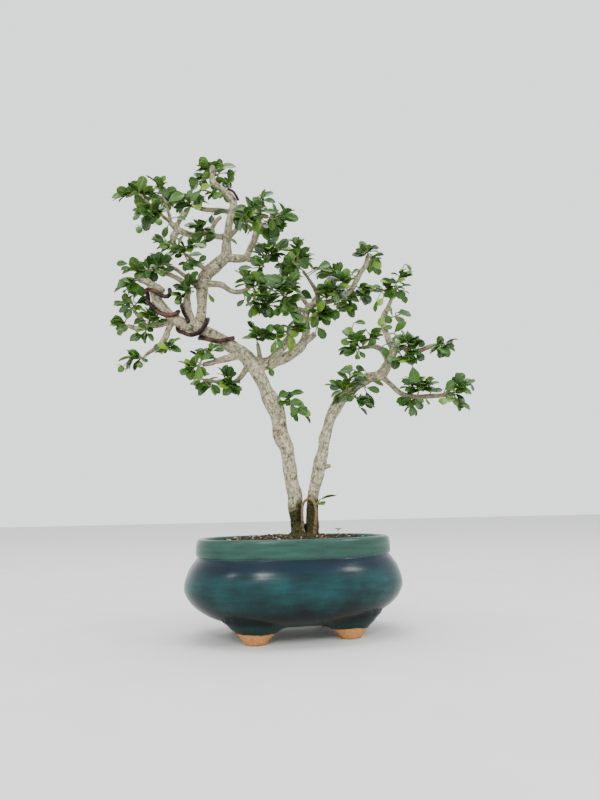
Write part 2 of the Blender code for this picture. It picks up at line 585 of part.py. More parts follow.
def wound(diameter, keys):
    """Points of a wire that follows its keys and lies on the bark."""
    reach = (diameter / 2 + WIRE_SPARE) * MM + GAP
    count = 10 * len(keys)
    points = [seen(*eased(keys, number / count)) for number in range(count + 1)]
    for _ in range(WIRE_ROUNDS):
        points = [off_bark(point, reach) for point in points]
        middles = [(a + b + c) / 3 for a, b, c in zip(points, points[1:], points[2:])]
        points = [points[0], *middles, points[-1]]
    return spaced([off_bark(point, reach) for point in points], WIRE_STEP * MM)


def spaced(points, step):
    """The same line with a point about every step."""
    kept = [points[0]]
    for point in points[1:]:
        if (point - kept[-1]).length >= step:
            kept.append(point)
    return kept


def make_wire(name, material):
    """A closed round wire. Returns its shape too."""
    diameter, keys = WIRES[name]
    points = wound(diameter, keys)
    shape = tube_shape(points, [diameter * MM / 2] * len(points), WIRE_SIDES)
    solid(name, *shape, material)
    return shape


def leaf_shape(leaf, spare=0.0, start=0.0):
    """Points and faces of a leaf: an arched blade, folded up at both sides, as thick at its foot.
    Spare thickens and widens it all round, and start leaves out that share of its foot."""
    foot, along, side, normal, length, width, arch, toothed = leaf
    outline = TOOTHED_LEAF if toothed else ROUND_LEAF
    count = len(outline)
    upper = []
    for x, y in outline:
        x = max(x, start)
        out = y * (width / 2 + spare)
        rise = abs(out) * LEAF_FOLD - arch * length * x * x + LEAF_THICK * MM / 2 + spare
        upper.append(foot + along * x * (length + spare) + side * out + normal * rise)
    lower = [point - normal * (LEAF_THICK * MM + 2 * spare) for point in upper]
    blade = TOOTHED_BLADE if toothed else ROUND_BLADE
    faces = [*blade, *(tuple(corner + count for corner in reversed(face)) for face in blade)]
    for step in range(count):
        after = (step + 1) % count
        faces.append((step, step + count, after + count, after))
    return upper + lower, faces


def tree_of(shape):
    """A search tree for overlap tests."""
    return BVHTree.FromPolygons([tuple(p) for p in shape[0]], shape[1])


class Taken:
    """What already stands in the crown, to keep each new piece clear of the other nodes."""

    def __init__(self, wood, wires):
        self.wood = [tree_of(shape) for shape in wood]
        self.fixed = self.wood + [tree_of(shape) for shape in wires]
        self.pieces = []

    def bark(self, middle, out):
        """The place and direction where a line out of the wood's middle leaves the bark."""
        best = None
        for tree in self.wood:
            place, normal, _, distance = tree.ray_cast(middle + out * BARK_REACH * MM, -out, BARK_REACH * MM)
            if place and (best is None or distance < best[0]):
                best = (distance, place, normal if normal.dot(out) > 0 else -normal)
        return best[1:]

    def add(self, owner, shape):
        middle = sum(shape[0], Vector()) / len(shape[0])
        reach = max((p - middle).length for p in shape[0])
        self.pieces.append((owner, middle, reach, tree_of(shape)))

    def free(self, owner, shape):
        """True if the shape crosses neither the wood nor another node's piece."""
        test = tree_of(shape)
        if any(test.overlap(tree) for tree in self.fixed):
            return False
        middle = sum(shape[0], Vector()) / len(shape[0])
        reach = max((p - middle).length for p in shape[0])
        for other, place, size, tree in self.pieces:
            if other != owner and (place - middle).length < size + reach and test.overlap(tree):
                return False
        return True


def shoot_points(foot, out, tip):
    """A shoot leaves the bark squarely, then bends over to its tip."""
    return [foot, foot + out * (tip - foot).length * SHOOT_KNEE, tip]


def shoot_shape(points, spare=0.0):
    """The thin round stem of a shoot."""
    count = len(points) - 1
    radii = []
    for number in range(count + 1):
        width = SHOOT_START + (SHOOT_END - SHOOT_START) * number / count
        radii.append(width * MM / 2 + spare)
    return tube_shape(points, radii, SHOOT_SIDES)


def lay_shoot(taken, owner, foot, out, tip):
    """The first bend of a shoot that stays clear of everything else, or nothing."""
    across, down, back = tip
    for bend in SHOOT_BENDS:
        end = seen(across, down, back + bend)
        aim = out or (end - foot).normalized()
        points = shoot_points(foot, aim, end)
        outer = [points[0].lerp(points[1], 0.5), *points[1:]]
        if taken.free(owner, shoot_shape(points)) and taken.free(owner, shoot_shape(outer, LEAF_CLEAR * MM)):
            return points
    return None


def lay_spray(name, taken):
    """The stems of a spray: the first leaves the branch, the others fork from it."""
    branch, place, shoots = SPRAYS[name]
    middle, along = on_route(WOOD[branch], *place)
    end = seen(*WOOD[branch][-1][:3])
    if (middle - end).length < END_REACH * MM:
        out = along
        foot = end + out * GAP
    else:
        out = seen(*shoots[0][:3]) - middle
        out = (out - along * out.dot(along)).normalized()
        foot, out = taken.bark(middle, out)
        foot = foot + out * GAP
    stems = []
    for *tip, count in shoots:
        points = lay_shoot(taken, name, foot, out, tip)
        if points:
            stems.append((points, count))
            taken.add(name, shoot_shape(points))
            foot = stems[0][0][0].lerp(stems[0][0][1], SHOOT_FORK)
            out = None
    return stems


def along_stem(points, share):
    """The point and direction of a stem at a share of its length."""
    lengths = [(b - a).length for a, b in zip(points, points[1:])]
    left = share * sum(lengths)
    for first, second, length in zip(points, points[1:], lengths):
        if left <= length or second is points[-1]:
            return first.lerp(second, min(left / length, 1.0)), (second - first).normalized()
        left -= length
    return points[-1], (points[-1] - points[-2]).normalized()


def new_leaf(draw, points, number, count, tries):
    """One leaf of a stem: its place follows a spiral, and each further try turns it on."""
    share = number / max(count - 1, 1)
    foot, ahead = along_stem(points, LEAF_PLACES[0] + (LEAF_PLACES[1] - LEAF_PLACES[0]) * share)
    turn = math.radians(LEAF_TURN * number + 47 * tries + draw.uniform(-25, 25))
    spread = LEAF_SPREAD[0] + (LEAF_SPREAD[1] - LEAF_SPREAD[0]) * share + draw.uniform(-12, 12)
    spread = math.radians(spread)
    first = ahead.cross(Vector((0.2, 0.9, 0.35))).normalized()
    second = ahead.cross(first)
    sideways = first * math.cos(turn) + second * math.sin(turn)
    along = ahead * math.cos(spread) + sideways * math.sin(spread)
    along.z = along.z * LEAF_FLAT + LEAF_RISE
    along.normalize()
    facing = ahead * 0.3 + Vector((0, 0, 0.8)) - TO_POT @ Vector((0, 0.42, 0))
    facing += Vector((draw.uniform(-0.55, 0.55), draw.uniform(-0.55, 0.55), 0))
    side = facing.cross(along).normalized()
    normal = along.cross(side)
    length = draw.uniform(*LEAF_LENGTH) * MM
    width = length * draw.uniform(*LEAF_WIDTH_SHARE)
    arch = draw.uniform(*LEAF_ARCH)
    return foot, along, side, normal, length, width, arch, draw.random() < TOOTHED_SHARE


def grow_leaves(index, name, stems, taken):
    """The leaves of one spray, each turned on until it crosses nothing of another node."""
    draw = random.Random(LEAF_SEED + index)
    leaves = []
    grown = [tree_of(shoot_shape(points)) for points, _ in stems]
    for points, count in stems:
        for number in range(count):
            for tries in range(LEAF_TRIES):
                leaf = new_leaf(draw, points, number, count, tries)
                blade = tree_of(leaf_shape(leaf, 0.0, LEAF_FOOT))
                if any(blade.overlap(other) for other in grown):
                    continue
                if taken.free(name, leaf_shape(leaf, LEAF_CLEAR * MM)):
                    leaves.append(leaf)
                    grown.append(blade)
                    taken.add(name, leaf_shape(leaf))
                    break
    return leaves


def berry_pieces(name, stems):
    """The berries of a spray, each on a stalk from the nearest place on a stem."""
    pieces = []
    for owner, place, diameter in BERRIES:
        if owner != name:
            continue
        middle = seen(*place)
        starts = [along_stem(points, share)[0] for points, _ in stems for share in STALK_STARTS]
        start = min(starts, key=lambda p: (p - middle).length)
        knee = start.lerp(middle, 0.5) + Vector((0, 0, STALK_RISE)) * MM
        stalk = tube_shape([start, knee, middle], [STALK * MM / 2] * 3, 3)
        ball = bmesh.new()
        place = Matrix.Translation(middle)
        bmesh.ops.create_icosphere(ball, subdivisions=1, radius=diameter * MM / 2, matrix=place)
        shape = [v.co.copy() for v in ball.verts], [tuple(v.index for v in f.verts) for f in ball.faces]
        ball.free()
        pieces.append((stalk, shape))
    return pieces


def make_spray(name, stems, leaves, berries, material):
    """One spray fused from its stems, leaves and berries."""
    stem_shapes = [shoot_shape(points) for points, _ in stems]
    spray = solid("spray_" + name, *stem_shapes[0], material)
    others = [solid("stem", *shape) for shape in stem_shapes[1:]]
    others += [solid("leaf", *leaf_shape(leaf)) for leaf in leaves]
    for stalk, ball in berries:
        others.append(solid("stalk", *stalk))
        others.append(solid("berry", *ball))
    return joined(spray, others)


def shade_round(names):
    """Smooth shading over the rounded pieces, broken at their edges."""
    for name in names:
        mesh = bpy.data.objects[name].data
        mesh.shade_smooth()
        mesh.set_sharp_from_angle(angle=math.radians(SHARP_ANGLE))


def main():
    clear_scene()
    bark = finish_of("bark", (0.42, 0.37, 0.30), 0.8)
    green = finish_of("leaf_green", (0.10, 0.22, 0.04), 0.4)
    glaze = finish_of("glaze", (0.03, 0.11, 0.11), 0.15)
    earth = finish_of("earth", (0.05, 0.035, 0.025), 0.95)
    plastic = finish_of("mesh_plastic", (0.02, 0.02, 0.02), 0.5)
    rust = finish_of("wire_metal", (0.05, 0.03, 0.02), 0.5, 0.8)

    root_middle = seen(*ROOT_MIDDLE)
    root_middle.z = 0.0
    make_pot(glaze)
    make_screen(plastic)
    make_soil(earth, root_middle)
    _, wood_shapes = make_tree(bark, root_middle)
    wires = [make_wire(name, rust) for name in WIRES]

    taken = Taken(wood_shapes, wires)
    stems = {name: lay_spray(name, taken) for name in SPRAYS}
    berries = {name: berry_pieces(name, stems[name]) for name in SPRAYS}
    for name, pieces in berries.items():
        for stalk, ball in pieces:
            taken.add(name, ball)
    for index, name in enumerate(SPRAYS):
        leaves = grow_leaves(index, name, stems[name], taken)
        make_spray(name, stems[name], leaves, berries[name], green)
    shade_round(("pot", "soil", "tree", *WIRES))


main()
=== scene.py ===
"""Fukien tea bonsai with two trunks in a glazed oval pot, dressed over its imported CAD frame.

Laid out as an add-on: the property groups hold the sizes and colours, one operator makes each piece
or group of like pieces, and one makes the stage. The routes of the wood, the wires and the shoots are
the ones that the CAD part was built from, so every leaf stands where the part has it.
Metres, +Z up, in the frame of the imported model.
"""
import math
import random
from functools import partial

import bmesh
import bpy
import numpy as np
from mathutils import Matrix, Vector, noise
from mathutils.bvhtree import BVHTree
from mathutils.kdtree import KDTree


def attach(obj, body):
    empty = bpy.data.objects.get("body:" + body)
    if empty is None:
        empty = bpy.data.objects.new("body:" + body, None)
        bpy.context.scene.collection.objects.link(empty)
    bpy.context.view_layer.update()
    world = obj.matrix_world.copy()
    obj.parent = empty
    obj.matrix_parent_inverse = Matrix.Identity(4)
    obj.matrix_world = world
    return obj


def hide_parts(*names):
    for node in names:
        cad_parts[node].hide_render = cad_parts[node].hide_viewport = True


bl_info = {
    "name": "Fukien Tea Bonsai",
    "version": (1, 0, 0),
    "blender": (4, 5, 0),
    "location": "3D View > Sidebar > Bonsai",
    "description": "Makes a fukien tea bonsai with its glazed pot over the packed CAD frame",
    "category": "Object",
}

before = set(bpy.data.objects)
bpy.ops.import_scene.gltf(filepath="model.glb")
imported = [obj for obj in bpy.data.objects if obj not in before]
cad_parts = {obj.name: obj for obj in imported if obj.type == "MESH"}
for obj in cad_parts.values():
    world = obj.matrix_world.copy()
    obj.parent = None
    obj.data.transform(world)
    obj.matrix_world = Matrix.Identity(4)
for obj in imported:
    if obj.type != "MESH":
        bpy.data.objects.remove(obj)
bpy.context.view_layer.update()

MM = 0.001
GAP = 0.3 * MM
BODY = "root"

# The front view that the routes are read in: its eye from the middle of the pot, and how it looks
VIEW_EYE = Vector((7.5, -548.0, 104.5)) * MM
VIEW_FOCAL = 600.0
VIEW_MIDDLE = (300.0, 400.0)
VIEW_PITCH = math.radians(10.5)
VIEW_ROLL = math.radians(-1.04)
POT_TURN = math.radians(14.3)

# Pot, in millimetres: heights and half lengths of its outside from the foot ring to the top of the rim,
# then of its inside from the rim down to the floor
POT_DEPTH_SHARE = 0.69
PLAN_POWER = 2.3
PLAN_POINTS = 208
OUTER_PROFILE = (
    (12, 50), (12.9, 56.5), (14.5, 62), (20, 76.5), (28, 88.3), (37, 94.6), (45, 95.5), (56, 92.2),
    (63, 87.7), (66, 85.1))
RIM_PROFILE = (
    (66.6, 84.7), (67.2, 84.9), (68.1, 85.7), (69.6, 86.1), (74.5, 86.0), (79, 85.6), (81.2, 84.8),
    (82.3, 83.4), (82.5, 81.9), (81.9, 80.3), (80.4, 79.1), (77.5, 78.6), (68, 78.5))
INNER_PROFILE = ((60, 84), (46, 89.5), (30, 80), (20, 64), (17.6, 57), (17, 52))
FLOOR_HEIGHT = 17
BASE_HEIGHT = 12
PROFILE_STEP = 1.5
RIM_STEP = 0.6
BASE_RINGS = 30
FLOOR_RINGS = 12
# The belly is at its widest where the half length is more than this
BELLY_FROM = 95
# The hand-thrown wall wanders from this height up, in waves of 36 mm
THROWN_FROM = 15
THROWN_REPEATS = 28
# Feet: the place of each, its height, half length and half depth from below up, how softly it grows out of
# the base, and a height that stands for no foot
FOOT_PLACE = (40, 31)
FOOT_SECTIONS = ((0, 8.5, 6.5), (4, 11.5, 8.5), (8.5, 15.5, 10.5), (13, 20.5, 13), (21, 27, 16.5))
FOOT_BLEND = 9.0
FOOT_CLEAR = 1000
DRAIN_HOLE = 22

# Soil, in millimetres
SOIL_SEED = 5
SOIL_INSET = 0.5
SOIL_WALL = 78.0
SOIL_EDGE = 79.0
SOIL_CROWN = 83.0
ROOT_MIDDLE = (303.8, 536.0, -1.0)
ROOT_SECTIONS = ((60, 9, 7), (72, 13, 11), (81, 16, 13.5), (85.5, 13.5, 11))
ROOT_POINTS = 24
ROOT_CLEAR = 12
SOIL_RINGS = 46
SOIL_POINTS = 150
INNER_HALF = 77.5
# Slots of the grit, each as often as its kind lies there
STONE_SLOTS = (0, 0, 0, 1, 1, 1, 1, 2, 2, 3)
# Sizes of the grit as shares of the middle one: the least, the range, and how rare large ones are
GRIT_LEAST = 0.55
GRIT_RANGE = 1.3
GRIT_RARE = 2.5
GRIT_REACH = 0.985
GRIT_RISE = (-0.1, 0.5)
# Swells of 17 mm, crumbs of 2.4 mm and grains of 0.9 mm: repeats a metre, and height
CRUMBS = ((60, 1.1), (420, 0.55), (1100, 0.25))
CRUMB_DROP = 0.2
# Stones read in the front view: place (across, down, back), size and slot
LOOSE_STONES = (
    (216, 537, 18, 5.0, 1), (222, 537, 8, 4.2, 3), (229, 536, 22, 4.6, 0), (238, 537, 10, 5.2, 1),
    (243, 537, 20, 3.8, 3), (251, 536, 16, 4.0, 1), (262, 537, 10, 3.6, 2), (344, 536, 12, 3.8, 1),
    (356, 536, 16, 4.2, 0))
MOSS_REACH = (9.0, 24.0)
MOSS_WIDTHS = (0.42, 0.34, 0.08)
MOSS_SLOT = 4
SEEDLING = (338, 536, 22)
SEEDLING_SLOT = 5
# Roots on the soil: direction in degrees, length and diameter
SURFACE_ROOTS = (
    (200, 21, 4.6), (238, 17, 3.6), (150, 19, 3.8), (20, 20, 4.4), (325, 18, 3.8), (60, 17, 3.4),
    (100, 15, 3.2))
# How each falls into the soil: share of its length, height there, and share of its thickness
ROOT_FALL = ((0.15, 93, 1.1), (0.4, 88.5, 1.0), (0.62, 84.5, 0.85), (0.82, 81.5, 0.7), (1.05, 78, 0.5))
# The foot of the tree is less deep than it is wide
ROOT_DEPTH_SHARE = 0.8

# Trunks, the limbs that grow from them, and their branches. Each point has its place in the front view
# (across, down), how far back it lies and its diameter, both in millimetres.
WOOD = {
    "left_trunk": ((297.5, 538, 0, 10.6), (296.5, 528, 0, 9.4), (295.8, 519, 0, 9.2), (294.6, 508, 0, 12),
        (294.3, 495, 1, 13.2), (291, 480, 1, 12.8), (288.3, 463, 0, 12.2), (286, 447, -1, 13.2),
        (280.5, 434, -2, 15), (279, 423, -2, 13.4), (277, 412, -3, 15), (271, 400, -4, 15.6),
        (266, 391, -4, 12.4), (261.5, 380, -5, 12.4), (257, 371, -6, 13.2), (251, 362.5, -7, 14),
        (242, 353.5, -8, 12.6), (232, 346.5, -8, 11.8), (221, 340, -8, 11.2), (209.5, 333.5, -8, 10.8),
        (198, 328.5, -8, 10.4), (185, 325, -8, 10.2), (174, 318.5, -9, 9.8), (166, 311.5, -10, 9.8),
        (160, 306, -10, 10), (156.5, 300, -10, 9.8), (154.5, 292, -10, 8.4)),
    "right_trunk": ((312.5, 538, -3, 11.6), (312.5, 528, -3, 11), (312, 519, -3, 10.4), (312, 508, -3, 9.8),
        (313, 495, -3, 9.6), (316, 480, -1, 10.6), (319, 467, 0, 11.8), (323, 451, 2, 10.2),
        (325, 438, 3, 10.2), (327.5, 428, 3, 9), (331, 418, 4, 9.6), (335.5, 409, 5, 11.2),
        (341.5, 400, 6, 10.8), (349, 391, 7, 9), (358, 383, 8, 8.4), (367, 377.5, 8, 8.6),
        (379, 376, 8, 10), (385, 369.5, 8, 9.8), (389.5, 361, 8, 8.4), (392, 353, 8, 8.8),
        (397, 344, 8, 7)),
    "spur": ((324, 467, 0, 5), (331, 465.5, 0, 2.6)),
    "arched_root": ((303.5, 538, -6, 3), (302.2, 515, -7, 2.8), (303, 504, -7.5, 2.8),
        (307.5, 499, -9, 2.8), (312.5, 500.5, -10, 2.8), (315.5, 507, -10.5, 2.8), (316, 520, -9.5, 2.9),
        (313.5, 538, -6.5, 3)),
    "leader": ((199, 329, -8, 9.4), (201.5, 309, -7, 9.2), (202, 294, -6, 10.8), (203, 281, -5, 11.6),
        (209, 271.5, -4, 12.6), (218, 264, -3, 11.8), (225.5, 256, -3, 10.2), (226.5, 246, -4, 8.6),
        (228, 234, -5, 7.4), (229.5, 223, -6, 7), (232, 213, -7, 7.4), (233.5, 203, -8, 7.8),
        (230, 196.5, -9, 7), (220.5, 188.5, -10, 5.4), (213, 182, -10, 5.6), (212.5, 166.5, -9, 5)),
    "bough": ((227, 258, -3, 7.6), (238, 258.5, 0, 7.4), (246, 257, 3, 7), (250.5, 248.5, 6, 6.4),
        (254.5, 240, 9, 6.2), (257, 231, 12, 5.6), (263.5, 223.5, 14, 3.6)),
    "bough_right": ((243, 258, 1, 4.4), (252, 260.5, -6, 3.8), (261, 258, -12, 3)),
    "top_right": ((231, 214, -7, 5.4), (245, 213, -10, 5), (258, 214.5, -12, 4.6), (268, 217, -13, 3.4)),
    "top_left": ((231, 212.5, -7, 4.8), (219, 210, -2, 4.4), (207, 210, 3, 4.4), (195, 207.5, 7, 3.4)),
    "side_left": ((226.5, 236, -5, 5.4), (217, 236.5, -8, 5), (207, 232.5, -11, 4.8), (195, 235, -14, 5),
        (185, 233, -16, 5.6), (176, 228.5, -18, 6), (170, 222, -18, 4.2)),
    "side_knob": ((178, 230, -17, 5.4), (173.5, 236, -18, 6.6), (173, 244, -18, 4.4)),
    "side_stub": ((175.5, 228, -18, 4.8), (180, 219.5, -20, 4.8), (184, 212, -21, 4.6)),
    "curved_stub": ((208, 233, -11, 4.2), (213, 226.5, -15, 4), (216, 221, -17, 3.8),
        (221.5, 216.5, -18, 3)),
    "twig_up": ((171, 223, -18, 3.2), (169, 214, -17, 2.7), (166, 205, -15, 2.3), (163, 197, -13, 2)),
    "twig_far": ((171, 222.5, -18, 3.2), (160, 214, -21, 2.7), (149, 203.5, -25, 2.3), (144, 199, -26, 2)),
    "riser": ((192.5, 326, -8, 7), (188.5, 312, -5, 7), (186.5, 300, -2, 6.6), (188, 290, 2, 5.8),
        (184, 283, 6, 5), (175, 277, 10, 4.8), (165, 273, 13, 4.2), (153, 271.5, 16, 3)),
    "limb_tip": ((155.2, 295, -10, 7.4), (150.5, 284.5, -11, 6.6), (145, 281.5, -12, 5.4),
        (139, 281, -12, 3.4)),
    "limb_fore": ((151, 285, -11, 5.6), (157, 287, -13.5, 6.2), (163, 291, -16, 5.8)),
    "low_left": ((179, 321, -8, 7), (168, 322, -5, 6.4), (158, 324.5, -2, 5.8), (148, 326.5, 1, 5.4),
        (138, 329, 4, 4.8), (128, 325.5, 7, 3.2)),
    "low_left_up": ((146, 326.5, 2, 4.2), (140.5, 318, 5, 4), (134, 311, 8, 3)),
    "low_left_down": ((173, 322, -7, 4.8), (168, 330, -10, 4.8), (165.5, 338, -13, 5.8),
        (159, 346.5, -16, 4.6), (150, 352, -19, 3.2), (145, 355.5, -20, 2.4)),
    "inner_right": ((203.5, 284, -5, 6.4), (214, 284, -12, 6.2), (222, 285, -17, 5.2), (231, 291, -22, 4.6),
        (240, 292, -27, 4.2), (249, 288.5, -31, 3.2)),
    "cross_branch": ((254, 366, -6, 10.4), (262, 364.5, -4, 11.4), (271.5, 362.6, 0, 11.4),
        (282.5, 359, 5, 10.4), (292, 354, 9, 9.8), (299.5, 348, 12, 9.2), (304.5, 341, 14, 8.4),
        (306, 330, 15, 7.4), (306, 320, 16, 6.8), (306.5, 310, 17, 6.2), (313, 304.5, 17, 6),
        (323, 303, 16, 5.4), (333, 300.5, 15, 5), (343, 296.5, 14, 5), (351, 290, 13, 5),
        (356.5, 280, 13, 5)),
    "cross_end": ((356.5, 281, 13, 4.8), (361, 272, 12, 5), (366, 264.5, 11, 5), (367.5, 255, 9, 2.8)),
    "cross_stub": ((302, 345, 13, 5.6), (309, 339.5, 10, 5.4), (315.5, 333.5, 8, 5)),
    "cross_up": ((308, 306, 17, 4.8), (303, 299, 22, 4.2), (298, 291.5, 27, 3.4), (293, 285, 31, 2.8)),
    "cross_left": ((306, 311, 16, 4.8), (296, 308.5, 10, 4), (285, 308, 4, 3.2), (274, 306, -3, 2.6)),
    "crown_stem": ((320, 303.5, 16, 4.6), (316, 291, 9, 3.8), (309, 279.5, 1, 3), (303, 271, -5, 2.4)),
    "fore_stem": ((306, 322, 15, 4.6), (299, 314, 2, 4), (292, 306, -12, 3.2), (286, 299, -25, 2.6)),
    "rear_stem": ((307, 314, 17, 4.8), (314, 301, 31, 4.2), (323, 289, 44, 3.4), (331, 278, 54, 2.6)),
    "pale_branch": ((270, 362, 0, 8.2), (279.5, 351, -7, 8), (286, 342.5, -12, 7.4),
        (291.5, 334.5, -16, 6.4)),
    "low_front": ((244, 353.5, -8, 7.4), (232, 357, -14, 6.4), (221, 360, -19, 5.6), (211, 363, -24, 4.6),
        (203, 364.5, -28, 3.4)),
    "low_rear": ((249, 364, -7, 6), (243, 374, -2, 4.8), (236, 381, 4, 4.2), (225, 384, 10, 3.6),
        (213, 381, 15, 3), (205, 379.5, 18, 2.4)),
    "short_twig": ((261, 363, -5, 4.4), (259, 352, -12, 3.8), (257.5, 343, -17, 3)),
    "fore_left": ((208, 272, -5, 4.6), (199, 264.5, -16, 3.8), (191, 258.5, -27, 3.2),
        (186, 254, -33, 2.4)),
    "rear_left": ((201, 291, -6, 5.6), (191, 281, 7, 4.4), (177, 270, 18, 3.6), (163, 263, 26, 2.6)),
    "rear_top": ((226, 241, -4, 5.2), (234, 232, 11, 4.4), (241, 223, 25, 3.4), (247, 215.5, 35, 2.6)),
    "mid_left": ((388.5, 361, 8, 6.4), (383.5, 352, 4, 5.6), (378, 347.5, 0, 4.8), (370, 346.5, -5, 4),
        (363, 348, -9, 3)),
    "up_right": ((394, 350, 8, 6.6), (388, 338, 12, 6), (383.5, 326.5, 16, 5.6), (384, 316, 19, 6),
        (388, 308, 22, 4.2), (391, 300, 24, 3.4), (393.5, 292, 26, 2.6)),
    "mid_right": ((396, 346, 8, 6.4), (403, 347, 2, 5.8), (411, 352.5, -5, 5.2), (420, 350.5, -13, 4.6),
        (430, 346.5, -21, 4), (441, 344.5, -28, 3)),
    "low_right": ((382, 376.5, 8, 5.6), (390, 383.5, 9, 4.6), (398, 391, 10, 4.6), (406, 395.5, 10, 4.8),
        (418, 397, 10, 4.6), (431, 396, 9, 4.2), (443, 395, 8, 3.6), (450, 390, 8, 2.8)),
    "low_rear_right": ((374, 377, 8, 5.6), (366, 382.5, 1, 4.8), (358, 387, -5, 4), (351, 391, -9, 3)),
}
TRUNK_SIDES = 6
BRANCH_SIDES = 5
TWIG_SIDES = 4
TRUNK_LEAST = 7.2
BRANCH_LEAST = 5.5
ROUTE_STEPS = 5
WOOD_SIDES = 16
# Share of the wood's faces kept once the bark is carved, so that the piece stays under 200,000
WOOD_KEPT = 0.64
# The bark's smoothing takes this much off every radius, in millimetres
SMOOTHED_AWAY = 0.3
# The arched root's own colour reaches this many of its radii from its middle
ROOT_SKIN = 1.35
# Patterns of the bark, as repeats a metre across and along the limb, and a shift that sets each apart:
# cracks 2.4 mm and 1.3 mm apart, rings 3 mm apart, and lumps 8 mm wide and 12 mm long
WIDE_CRACKS = (420, 210, 0)
FINE_CRACKS = (800, 470, 7)
RINGS = (90, 330, 31)
LUMPS = (130, 85, 3)
CRACK_EDGE = 3.2
RING_FROM = 0.34
RING_DEPTH = 1.6
# Wood of this radius in millimetres has the full relief, and thinner wood less
FULL_GIRTH = 5
# The damp line crosses the left trunk here in the front view, rises to the right by this share, and
# wanders by so many millimetres
DAMP_PLACE = (296, 509, 0)
DAMP_SLOPE = 0.42
DAMP_WANDER = 22
# Metres along the grain between one limb and the next, so that no two crack alike
LIMB_SHIFT = 0.37
# An odd direction that no limb follows, to start the sides of a tube from
ODD_WAY = Vector((0.31, 0.17, 0.94))

# Training wires, in millimetres: how the CAD part's wires are wound off the bark of the wood under them,
# and their diameters and route points (across, down, back)
WIRE_SIDES = 5
WIRE_STEP = 3.6
WIRE_SPARE = 0.25
WIRE_ROUNDS = 3
WIRED_WOOD = (
    "left_trunk", "leader", "riser", "limb_tip", "limb_fore", "low_left", "low_left_down", "top_right")
WIRES = {
    "training_wire": (4.2, (
        (233.5, 338, -14), (226, 340, -15.5), (216, 341, -14.5), (207.5, 338.5, -12), (202.5, 335, -8),
        (201, 329, -1), (204, 322.5, -1), (207.5, 319, -6), (206.5, 323.5, -12.5), (203, 328.5, -15),
        (198, 333, -14), (191, 335, -12.5), (184, 333, -10), (179, 329, -6), (177, 322, -1),
        (177, 315, -2), (178, 312, -7), (176, 315, -13), (170, 315.5, -16), (162, 314, -16.5),
        (155.5, 310, -15), (150.5, 304, -12.5), (148, 297.5, -9), (149, 291, -11.5), (152, 290.5, -16),
        (157, 292.5, -18), (162, 295.5, -19.5), (167, 296.5, -19.5), (170, 293.5, -17),
        (169.5, 289.5, -14))),
    "riser_wire": (3.6, (
        (188.5, 322, -14), (186, 317, -12.5), (183, 311, -9.5), (182.5, 306.5, -5), (184.5, 303, 0),
        (188, 300.5, 2.5))),
    "upper_wire": (2.6, ((228, 189.5, -12), (232.5, 191, -13), (236, 195.5, -13), (238.5, 200.5, -11))),
}
# The shown wires are rounder and follow the same line in finer steps
WIRE_FINE_SIDES = 14
WIRE_FINE_STEP = 0.9
# Lighter brown patches, partly wear of the skin and partly painted sheen, start at this value of the noise,
# and the upper wire's at the next one
SHEEN_AND_WEAR_FROM = 0.46
UPPER_SHEEN_AND_WEAR_FROM = 0.66
SHEEN_AND_WEAR_EDGE = 0.18

